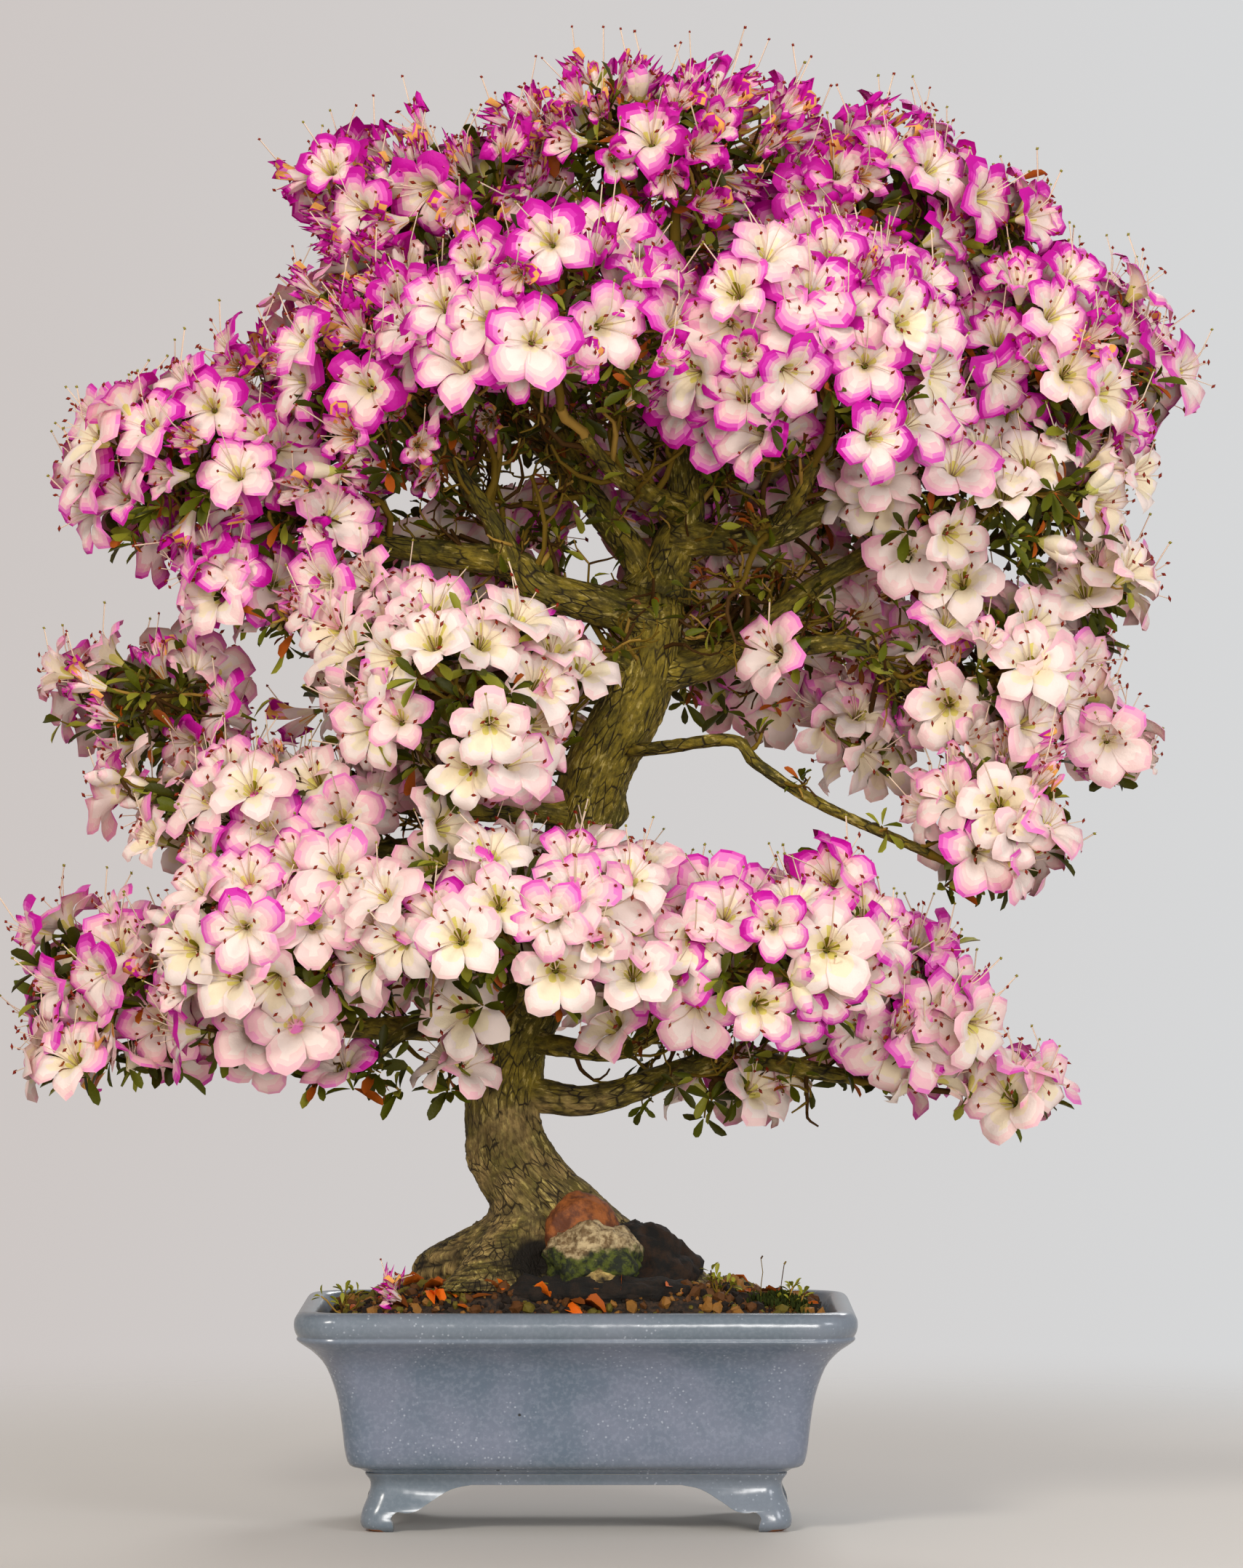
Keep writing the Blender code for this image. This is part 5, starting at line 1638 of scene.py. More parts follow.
def twig_tree() -> GrowthTree:
    """A tree that makes each line a thin tube, as wide as its points say."""
    made = GrowthTree("twigs", Sides="NodeSocketInt")
    line = made.put("GeometryNodeMeshToCurve", {"Mesh": made.given["Geometry"]})
    ring = made.put("GeometryNodeCurvePrimitiveCircle", {"Resolution": made.given["Sides"], "Radius": 1.0})
    tube = made.put("GeometryNodeCurveToMesh", {
        "Curve": line, "Profile Curve": ring, "Scale": made.attribute("thickness"), "Fill Caps": True})
    made.end(tube, made.attribute("tint"), TWIG_TINTS)
    return made


class Shapes:
    """The blossoms and leaves, and the tree that makes twigs."""

    def __init__(self, first_seed: int = 11) -> None:
        """Makes every shape once."""
        heads = [Blossom(bloom, seed).mesh() for seed, bloom in enumerate(HEADS, first_seed)]
        self.heads = ShapeSet("heads", [*heads, Bud().mesh()], BLOOM_TINTS, DEEPEST, 7.0)
        self.leaves = ShapeSet("leaves", [leaf.mesh() for leaf in LEAVES], LEAF_TINTS, MOSS)
        self.twigs = twig_tree()


@dataclass
class Sprays:
    """The blossoms, leaves and twigs of one part of the crown."""

    heads: list[Placed] = field(default_factory=list)
    leaves: list[Placed] = field(default_factory=list)
    twigs: Twigs = field(default_factory=Twigs)

    def clear_mouths(self, width: float = 0.019, near: float = 0.008, far: float = 0.030) -> None:
        """Drops the leaves that would stand in the mouth of a blossom.

        Args:
            width: how far from a blossom's axis a leaf is in its way.
            near: how far in front of the blossom's foot its mouth starts.
            far: how far in front of the foot it ends.
        """
        if not self.heads:
            return
        feet = np.array([tuple(head.foot) for head in self.heads])
        axes = np.array([tuple(head.turn @ UP) for head in self.heads])
        clear = []
        for leaf in self.leaves:
            way = np.array(tuple(leaf.turn @ Vector((1, 0, 0))))
            away = np.array(tuple(leaf.foot)) + way * 0.010 - feet
            ahead = (away * axes).sum(1)
            aside = np.linalg.norm(away - axes * ahead[:, None], axis=1)
            if not np.any((ahead > near) & (ahead < far) & (aside < width)):
                clear.append(leaf)
        self.leaves = clear

    def add_leaf(self, foot: Vector, way: Vector, over: Vector, rng: random.Random,
                 variant: int | None = None, tint: float | None = None, size: float = 1.0) -> None:
        """Adds a leaf.

        Args:
            foot: where it starts.
            way: the direction in which it points.
            over: the direction that its upper side faces, as near as can be.
            rng: where the choices come from.
            variant: which leaf it is, or any.
            tint: its tint, or one of the greens.
            size: its scale.
        """
        long = way.normalized()
        up = over - long * over.dot(long)
        if up.length < 1e-4:
            up = long.orthogonal()
        up.normalize()
        turn = Matrix((long, up.cross(long), up)).transposed().to_quaternion()
        if variant is None:
            variant = rng.randrange(WHOLE_LEAVES)
        if tint is None:
            tint = rng.choices((DARK_LEAF, GREEN_LEAF, LIGHT_LEAF, RUSSET_LEAF), (7, 8, 4, 1))[0]
        self.leaves.append(Placed(foot, turn, size * rng.uniform(0.85, 1.15), variant, 0.0, float(tint)))

    def add_whorl(self, foot: Vector, axis: Vector, count: int, low: float, high: float,
                  rng: random.Random, **choices: float) -> None:
        """Adds leaves in a ring round an axis.

        Args:
            foot: where the ring is.
            axis: which way it looks.
            count: how many leaves it has.
            low: the least angle by which a leaf leans from the axis.
            high: the greatest.
            rng: where its irregularities come from.
            choices: a variant, tint or size for all the leaves.
        """
        across = axis.orthogonal().normalized()
        over = axis.cross(across)
        turn = rng.uniform(0, 2 * math.pi)
        for k in range(count):
            angle = turn + 2 * math.pi * k / count + rng.uniform(-0.35, 0.35)
            lean = rng.uniform(low, high)
            out = across * math.cos(angle) + over * math.sin(angle)
            way = axis * math.cos(lean) + out * math.sin(lean)
            self.add_leaf(foot + out * 0.0012, way, axis * 0.8 + UP * 0.5, rng, **choices)


@dataclass(frozen=True)
class Tip:
    """A twig's tip: where it ends, and which way what it carries looks."""

    foot: Vector
    facing: Vector
    leafy: bool


def spread(count: int, turn: float, lowest: float) -> list[Vector]:
    """Directions spread evenly round a ball, from straight up down to the lowest.

    Args:
        count: how many there are.
        turn: the angle of the first.
        lowest: how far up or down the last looks, from 1 to -1.

    Returns:
        The directions.
    """
    found = []
    for i in range(count):
        up = 1 - (i + 0.5) / count * (1 - lowest)
        flat = math.sqrt(1 - up * up)
        angle = turn + GOLDEN_TURN * i
        found.append(Vector((flat * math.cos(angle), flat * math.sin(angle), up)))
    return found


@dataclass(frozen=True)
class Growth:
    """The rule by which a mass grows from its bough: a stem, knots, forks, and tips that carry blossom."""

    limbs: Limbs
    tip_spacing: float
    knot_share: float = 0.46
    tips_a_knot: int = 6
    tips_a_fork: int = 2
    knots_lowest: float = -0.3
    leafy_below: float = -0.30
    crown_half: tuple[float, float] = (0.33, 0.20)
    crown_middle: float = 0.012
    head_height: float = 0.018
    limb_room: float = 0.010
    wander: float = 0.36
    stem_bend: float = 0.35
    buried: float = 0.76
    knot_twig: tuple[float, float] = (0.0021, 0.0015)
    fork_twig: tuple[float, float] = (0.0014, 0.0010)
    tip_twig: tuple[float, float] = (0.00095, 0.0007)
    side_twig: tuple[float, float] = (0.0008, 0.0005)

    def grow(self, mass: Mass, sprays: Sprays) -> None:
        """Grows one mass.

        Args:
            mass: the mass.
            sprays: what its blossoms, leaves and twigs are added to.
        """
        rng = random.Random(mass.name)
        tips = self.tips(mass, rng)
        stem = self.stem(mass, sprays, rng)
        ways = spread(max(4, round(len(tips) / self.tips_a_knot)), rng.uniform(0, 6), self.knots_lowest)
        knots = [mass.at(way, self.knot_share) for way in ways]
        served: dict[int, list[Tip]] = {}
        for tip in tips:
            nearest = min(range(len(knots)), key=lambda k: (knots[k] - tip.foot).length)
            served.setdefault(nearest, []).append(tip)
        for number, own in served.items():
            knot = knots[number]
            root = min(stem, key=lambda p: (p - knot).length)
            sprays.twigs.add(root, knot, *self.knot_twig, rng)
            self.fork(mass.spray, knot, own, sprays, rng)

    def tips(self, mass: Mass, rng: random.Random) -> list[Tip]:
        """Where the mass's twigs end.

        Args:
            mass: the mass.
            rng: where its irregularities come from.

        Returns:
            The tips.
        """
        a, b, c = mass.reach
        area = (a * b + b * c + c * a) / 3 * 4 * math.pi
        count = max(1, round(area * (1 - mass.lowest) / 2 / self.tip_spacing**2))
        found = []
        for direction in spread(count, rng.uniform(0, 6), mass.lowest):
            mouth = mass.at(direction, rng.uniform(0.72, 1.05))
            facing = self.facing(mass, direction, mouth, rng)
            foot = mouth - facing * self.head_height
            if self.blocked(mass, mouth, foot):
                continue
            share = max(mass.spray.leafy, 0.5 if direction.z < self.leafy_below else 0.0)
            found.append(Tip(foot, facing, rng.random() < share))
        return found

    def facing(self, mass: Mass, direction: Vector, mouth: Vector, rng: random.Random) -> Vector:
        """Which way a tip looks: out of the crown, square to its mass, and a little up.

        Args:
            mass: its mass.
            direction: where it lies from the mass's middle.
            mouth: where its blossom opens.
            rng: where its irregularities come from.

        Returns:
            The way.
        """
        wide, deep = self.crown_half
        level = Vector(((mouth.x - self.crown_middle) / wide**2, mouth.y / deep**2, 0))
        level = level.normalized() if level.length > 1e-6 else UP
        square = Vector(d / r for d, r in zip(direction, mass.reach)).normalized()
        square.z = max(square.z, 0.4 * square.z)
        return (level * 0.7 + square * 0.9 + UP * 0.12 + stray(rng) * self.wander).normalized()

    def blocked(self, mass: Mass, mouth: Vector, foot: Vector) -> bool:
        """Whether a tip would lie deep in another mass, or against a limb."""
        if any(other.depth(mouth) < self.buried for other in MASSES if other is not mass):
            return True
        return min(self.limbs.clearance(mouth), self.limbs.clearance(foot)) < self.limb_room

    def stem(self, mass: Mass, sprays: Sprays, rng: random.Random) -> list[Vector]:
        """Adds the mass's stem, from its bough to its middle.

        Args:
            mass: the mass.
            sprays: what the stem is added to.
            rng: where its bends come from.

        Returns:
            Places along it.
        """
        line = self.limbs.lines[mass.bough]
        last = max(1, round((len(line) - 1) * mass.leaves_at))
        start, before = Vector(line[last, :3]), Vector(line[last - 1, :3])
        middle = Vector(mass.middle)
        run = (start - before).normalized()
        if mass.leaves_at < 1:
            run = (run + (middle - start).normalized()).normalized()
        radius = min(float(line[last, 3]), 0.012 * math.sqrt(sum(mass.reach) / 3))
        bend = start + run * self.stem_bend * (middle - start).length
        sprays.twigs.add(start - run * 0.004, bend, radius, radius * 0.8, rng, 0.02)
        return sprays.twigs.add(bend, middle, radius * 0.8, min(0.0022, radius * 0.7), rng, 0.06, 6)

    def fork(self, look: Spray, knot: Vector, own: list[Tip], sprays: Sprays, rng: random.Random) -> None:
        """Carries a knot's twig on to its tips, two to a fork.

        Args:
            look: how the mass looks.
            knot: where the twig has got to.
            own: the tips that it serves.
            sprays: what is added to.
            rng: where the irregularities come from.
        """
        own = sorted(own, key=lambda tip: math.atan2((tip.foot - knot).x, (tip.foot - knot).z))
        for first in range(0, len(own), self.tips_a_fork):
            pair = own[first:first + self.tips_a_fork]
            mean = sum((tip.foot for tip in pair), Vector()) / len(pair)
            fork = knot.lerp(mean, rng.uniform(0.42, 0.6))
            sprays.twigs.add(knot, fork, *self.fork_twig, rng, 0.10, 3)
            axis = (mean - knot).normalized()
            sprays.add_whorl(fork, axis, rng.randint(1, 3), 0.6, 1.4, rng)
            for tip in pair:
                sprays.twigs.add(fork, tip.foot, *self.tip_twig, rng, 0.14)
                self.carry(look, tip, sprays, rng)
            if rng.random() < 0.4:
                way = (axis + stray(rng) * 0.6).normalized()
                end = fork + way * rng.uniform(0.010, 0.022)
                sprays.twigs.add(fork, end, *self.side_twig, rng, 0.2, 3)
                sprays.add_whorl(end, way, rng.randint(3, 5), 0.4, 1.2, rng)

    def carry(self, look: Spray, tip: Tip, sprays: Sprays, rng: random.Random) -> None:
        """Adds what a tip carries: a blossom, a wilted one, buds or only leaves, in a whorl of leaves.

        Args:
            look: how the mass looks.
            tip: the tip.
            sprays: what is added to.
            rng: where the choices come from.
        """
        foot, facing = tip.foot, tip.facing
        if tip.leafy:
            sprays.add_whorl(foot, facing, rng.randint(4, 6), 0.5, 1.3, rng)
            sprays.add_whorl(foot + facing * 0.004, facing, rng.randint(2, 4), 0.2, 0.8, rng)
            return
        roll = rng.gauss(0, 0.35)
        turn = facing_turn(facing, roll)
        vivid = min(1.9, max(0.12, look.vivid * rng.gauss(1.0, 0.26)))
        cream = rng.random() < look.cream
        shift = -0.8 if cream else 0.0
        vivid *= 0.7 if cream else 1.0
        chance = rng.random()
        if chance < look.buds:
            for _ in range(rng.randint(1, 3)):
                way = (facing + stray(rng) * 0.35).normalized()
                bud = Placed(foot, facing_turn(way, roll), rng.uniform(0.8, 1.1), BUD_HEAD, vivid, 0.0)
                sprays.heads.append(bud)
        else:
            if chance < look.buds + look.wilted:
                head = rng.uniform(0.85, 1.08), rng.choice(WILTED_HEADS), min(1.4, vivid * 1.1), 0.0
            elif chance < look.buds + look.wilted + 0.06:
                head = rng.uniform(0.9, 1.05), HALF_HEAD, vivid, shift
            else:
                head = rng.uniform(0.90, 1.08), rng.randrange(HALF_HEAD), vivid, shift
            sprays.heads.append(Placed(foot, turn, *head))
        sprays.add_whorl(foot - facing * 0.008, facing, rng.randint(1, 3), 1.0, 1.9, rng)
        if rng.random() < 0.35:
            sprays.add_whorl(foot - facing * 0.004, facing, rng.randint(2, 4), 0.4, 1.3, rng,
                             variant=SCALE_LEAF, tint=rng.choice((ORANGE_SCALE, BROWN_SCALE)))


@dataclass(frozen=True)
class Crown:
    """The whole crown, part by part."""

    limbs: Limbs
    shapes: Shapes
    thicket: frozenset[str] = frozenset((
        "leader_left", "leader_right", "branch_front", "bough_left_upper", "branch_left_shoulder",
        "bough_right_upper", "branch_right_front", "bough_right_middle", "branch_back_left",
        "branch_back_right", "branch_left_front", "branch_back_middle_left", "branch_back_middle_right",
    ))
    thicket_spacing: float = 0.0105
    thicket_length: tuple[float, float] = (0.022, 0.058)
    spur_spacing: float = 0.0068
    spur_length: tuple[float, float] = (0.012, 0.036)
    sparse_spacing: float = 0.040
    sparse_below: float = 0.005
    trunk_spurs: int = 16
    trunk_spurs_from: float = 0.445
    leafy_share: float = 0.46
    scaly_share: float = 0.16

    def build(self) -> None:
        """Grows every part of the crown, and the spurs along the boughs."""
        for part in PARTS:
            sprays = Sprays()
            growth = Growth(self.limbs, part.tip_spacing)
            for mass in (*part.masses, *part.sprigs):
                growth.grow(mass, sprays)
            self.dress(part.name, sprays, [mass.name for mass in part.masses])
        self.dress("boughs", self.spurs(), [])

    def dress(self, part: str, sprays: Sprays, nodes: Sequence[str]) -> None:
        """Makes the pieces of one part and puts them in the frame.

        Args:
            part: the part's name.
            sprays: its blossoms, leaves and twigs.
            nodes: the frame's nodes that they stand for.
        """
        sprays.clear_mouths()
        show(sprays.twigs.grow(self.shapes.twigs, f"twigs_{part}"), "bark", *nodes)
        show(self.shapes.leaves.grow(sprays.leaves, f"leaves_{part}"), "blossom", *nodes)
        if sprays.heads:
            show(self.shapes.heads.grow(sprays.heads, f"blossoms_{part}"), "blossom", *nodes)

    def spurs(self) -> Sprays:
        """The branching twigs along the boughs, some bare and some with a few leaves."""
        rng = random.Random("spurs")
        sprays = Sprays()
        for bough in BOUGHS:
            line = self.limbs.lines[bough.name]
            dense = bough.name in self.thicket
            sparse = bough.thick < self.sparse_below
            spacing = self.thicket_spacing if dense else self.sparse_spacing if sparse else self.spur_spacing
            first = len(line) // (8 if dense else 3)
            for _ in range(round(run_along(line[:, :3])[-1] / spacing)):
                self.add_spur(line, rng.randrange(first, len(line) - 1), dense, sprays, rng)
        trunk = self.limbs.lines["trunk"]
        high = [i for i, row in enumerate(trunk[:-1]) if row[2] > self.trunk_spurs_from]
        for _ in range(self.trunk_spurs):
            self.add_spur(trunk, rng.choice(high), False, sprays, rng)
        return sprays

    def add_spur(self, line: np.ndarray, at: int, dense: bool, sprays: Sprays, rng: random.Random) -> None:
        """Adds one twig with the side twigs that it carries.

        Args:
            line: the limb that it grows from.
            at: the row of the limb's line where it starts.
            dense: whether it stands in the thicket under the crown.
            sprays: what it is added to.
            rng: where its irregularities come from.
        """
        start = Vector(line[at, :3])
        heading = (Vector(line[at + 1, :3]) - start).normalized()
        back = 0.55 if dense else 0.0
        way = stray(rng, (0, back, 0.55), (1, 0.8, 0.8)).normalized()
        way = (way + heading * 0.7).normalized()
        if dense:
            length, radius, order = rng.uniform(*self.thicket_length), rng.uniform(0.0013, 0.0022), 2
        else:
            length = rng.uniform(*self.spur_length) * min(1.0, float(line[at, 3]) / 0.006)
            radius, order = rng.uniform(0.0009, 0.0014), 1
        self.add_branchlet(start + way * float(line[at, 3]) * 0.6, way, length, radius, order, sprays, rng)

    def add_branchlet(self, start: Vector, way: Vector, length: float, radius: float, order: int,
                      sprays: Sprays, rng: random.Random) -> None:
        """Adds a twig, and side twigs on it for as many orders as are left.

        Args:
            start: where it starts.
            way: which way it heads.
            length: its length.
            radius: its radius at the start.
            order: how many times it still branches.
            sprays: what it is added to.
            rng: where its irregularities come from.
        """
        steps = 4 if order else 3
        places = sprays.twigs.add(start, start + way * length, radius, radius * 0.65, rng, 0.22, steps)
        if order:
            for _ in range(rng.randint(2, 3)):
                root = places[rng.randint(steps // 2, steps)]
                side = (way + stray(rng, (0, 0, 0.2)) * 0.75).normalized()
                shorter = length * rng.uniform(0.38, 0.66)
                self.add_branchlet(root, side, shorter, radius * 0.62, order - 1, sprays, rng)
        elif rng.random() < self.leafy_share:
            sprays.add_whorl(places[-1], way, rng.randint(2, 4), 0.4, 1.3, rng, size=0.78)
        elif rng.random() < self.scaly_share:
            sprays.add_whorl(places[-1], way, 3, 0.2, 0.7, rng, variant=SCALE_LEAF, tint=BROWN_SCALE)


# The pot and its soil

class Oblong(NamedTuple):
    """A rounded oblong in plan."""

    half_width: float
    half_depth: float
    corner: float

    def ring(self, height: float, steps: int) -> list[Point]:
        """Its outline at a height, counter-clockwise, with this many steps to a corner."""
        ring = []
        for quarter in range(4):
            middle_x = (self.half_width - self.corner) * (1 if quarter in (0, 3) else -1)
            middle_y = (self.half_depth - self.corner) * (1 if quarter in (0, 1) else -1)
            for step in range(steps + 1):
                angle = math.pi / 2 * (quarter + step / steps)
                x = middle_x + self.corner * math.cos(angle)
                ring.append((x, middle_y + self.corner * math.sin(angle), height))
        return ring

    def beyond(self, x: float, y: float) -> float:
        """How far outside the outline a place is, below 0 inside it."""
        over_x = abs(x) - (self.half_width - self.corner)
        over_y = abs(y) - (self.half_depth - self.corner)
        return math.hypot(max(over_x, 0), max(over_y, 0)) + min(max(over_x, over_y), 0) - self.corner


def loft_mesh(name: str, rings: Sequence[Sequence[Point]]) -> bpy.types.Mesh:
    """A closed mesh through rings of points that are in step, with a face over each end."""
    return new_mesh(name, [p for ring in rings for p in ring], capped_faces(len(rings), len(rings[0])))


@dataclass(frozen=True)
class Pot:
    """The glazed pot: an oblong bowl with a rolled rim, on a skirt that is cut into four scrolled feet."""

    rim: Oblong = Oblong(0.1514, 0.0914, 0.024)
    corner_share: float = 0.4
    least_corner: float = 0.010
    corner_steps: int = 12
    skirt_wall: float = 0.0135
    foot_half_width: float = 0.1165
    foot_runs: tuple[float, float] = (0.0600, 0.0400)
    drain_offset: float = 0.070
    drain_radius: float = 0.009
    edge_width: float = 0.0011
    outside: tuple[tuple[float, float], ...] = (
        (0.046, 0.027), (0.0375, 0.032), (0.0345, 0.034), (0.029, 0.0362), (0.0266, 0.044), (0.025, 0.058),
        (0.0224, 0.074), (0.017, 0.0895), (0.0104, 0.0978), (0.0046, 0.1022), (0.0014, 0.105),
        (0.0018, 0.1068), (0.0008, 0.1086), (0.0, 0.1118), (0.0003, 0.116), (0.0026, 0.1194),
        (0.006, 0.1205), (0.01, 0.1196),
        (0.0125, 0.115), (0.017, 0.106), (0.029, 0.093), (0.033, 0.07), (0.0355, 0.045), (0.04, 0.041),
    )
    skirt: tuple[tuple[float, float], ...] = (
        (0.0045, 0.0), (0.0010, 0.0022), (0.0, 0.0060), (0.0012, 0.0120), (0.0045, 0.0200),
        (0.0052, 0.0262), (0.0030, 0.0300), (0.0028, 0.0318), (0.0080, 0.0330),
    )
    scroll: tuple[tuple[float, float], ...] = (
        (1.00, 0.0252), (0.82, 0.0228), (0.64, 0.0165), (0.52, 0.0118), (0.42, 0.0104), (0.33, 0.0108),
        (0.28, 0.0075), (0.30, 0.0030), (0.30, -0.0050),
    )

    def inset(self, inset: float) -> Oblong:
        """The rim's outline drawn in all round."""
        corner = max(self.rim.corner - self.corner_share * inset, self.least_corner)
        return Oblong(self.rim.half_width - inset, self.rim.half_depth - inset, corner)

    def shell(self, name: str, profile: Sequence[tuple[float, float]], draw: float = 0.0) -> bpy.types.Mesh:
        """A closed shell.

        Args:
            name: the mesh's name.
            profile: how far in from the rim its outline lies, and at which height, from its foot on.
            draw: how far in the whole profile is drawn.

        Returns:
            The mesh.
        """
        smooth = smooth_path(profile, 3)
        return loft_mesh(name, [self.inset(draw + inset).ring(z, self.corner_steps) for inset, z in smooth])

    def build(self) -> None:
        """Builds the bowl and the skirt."""
        finishes = (Glaze(), BareClay("bare_clay", (176, 110, 62), (126, 74, 40)),
                    BareClay("glaze_break", (150, 128, 86), (104, 96, 78)))
        glaze, clay, break_line = [finish.material() for finish in finishes]
        bowl = keep("pot_bowl", self.shell("pot_bowl", self.outside))
        self.carve(bowl, [self.drain(side) for side in (-1, 1)])
        bowl.data.materials.append(glaze)
        self.show(bowl, 40)
        inset = self.rim.half_width - self.foot_half_width
        skirt = keep("pot_skirt", self.shell("pot_skirt", self.skirt, inset))
        for finish in (glaze, clay, break_line):
            skirt.data.materials.append(finish)
        hollow = [self.inset(inset + self.skirt_wall).ring(z, self.corner_steps) for z in (-0.01, 0.0285)]
        self.carve(skirt, [keep("hollow", loft_mesh("hollow", hollow)),
                           self.opening(self.foot_half_width, self.foot_runs[0], 0.0),
                           self.opening(self.rim.half_depth - inset, self.foot_runs[1], math.pi / 2)])
        self.soften(skirt)
        for face in skirt.data.polygons:
            if face.normal.z < -0.9 and face.center.z < 0.002:
                face.material_index = 1
        self.show(skirt, 50)

    def show(self, piece: bpy.types.Object, sharp_from: float) -> None:
        """Smooths a piece up to an angle in degrees, and puts it in the frame."""
        piece.data.shade_smooth()
        piece.data.set_sharp_from_angle(angle=math.radians(sharp_from))
        show(piece, "glaze", "pot")

    def drain(self, side: int) -> bpy.types.Object:
        """The cutter of a drainage hole."""
        ring = Oblong(self.drain_radius, self.drain_radius, self.drain_radius)
        rings = [[(x + side * self.drain_offset, y, z) for x, y, z in ring.ring(height, 7)]
                 for height in (0.02, 0.06)]
        return keep("drain", loft_mesh("drain", rings))

    def opening(self, half_span: float, run: float, turn: float) -> bpy.types.Object:
        """The space between two feet, as a cutter that runs right through the pot.

        Args:
            half_span: half the distance over both feet.
            run: how far each foot reaches in.
            turn: the turn about the upright axis.

        Returns:
            The cutter.
        """
        half = [(half_span - run * share, z) for share, z in smooth_path(self.scroll, 4)]
        outline = half + [(-x, z) for x, z in reversed(half)]
        reach = self.rim.half_width
        rings = [[(x, y, z) for x, z in outline] for y in (-reach, reach)]
        mesh = loft_mesh("opening", rings)
        mesh.transform(Matrix.Rotation(turn, 4, "Z"))
        shape = bmesh.new()
        shape.from_mesh(mesh)
        bmesh.ops.recalc_face_normals(shape, faces=shape.faces)
        shape.to_mesh(mesh)
        shape.free()
        return keep("opening", mesh)

    def carve(self, piece: bpy.types.Object, cutters: Sequence[bpy.types.Object]) -> None:
        """Cuts each of the cutters out of a piece, and removes them."""
        for cutter in cutters:
            modifier = piece.modifiers.new("carved", "BOOLEAN")
            modifier.operation = "DIFFERENCE"
            modifier.solver = "EXACT"
            modifier.object = cutter
            keep_evaluated(piece)
            bpy.data.objects.remove(cutter)

    def soften(self, piece: bpy.types.Object) -> None:
        """Rounds the cut edges, and gives them the finish of broken glaze."""
        modifier = piece.modifiers.new("softened", "BEVEL")
        modifier.width = self.edge_width
        modifier.segments = 2
        modifier.limit_method = "ANGLE"
        modifier.angle_limit = math.radians(50)
        modifier.material = 2
        keep_evaluated(piece)


def keep_evaluated(piece: bpy.types.Object) -> None:
    """Makes a piece's modifiers part of its mesh."""
    mesh = evaluated(piece)
    piece.modifiers.clear()
    piece.data = mesh


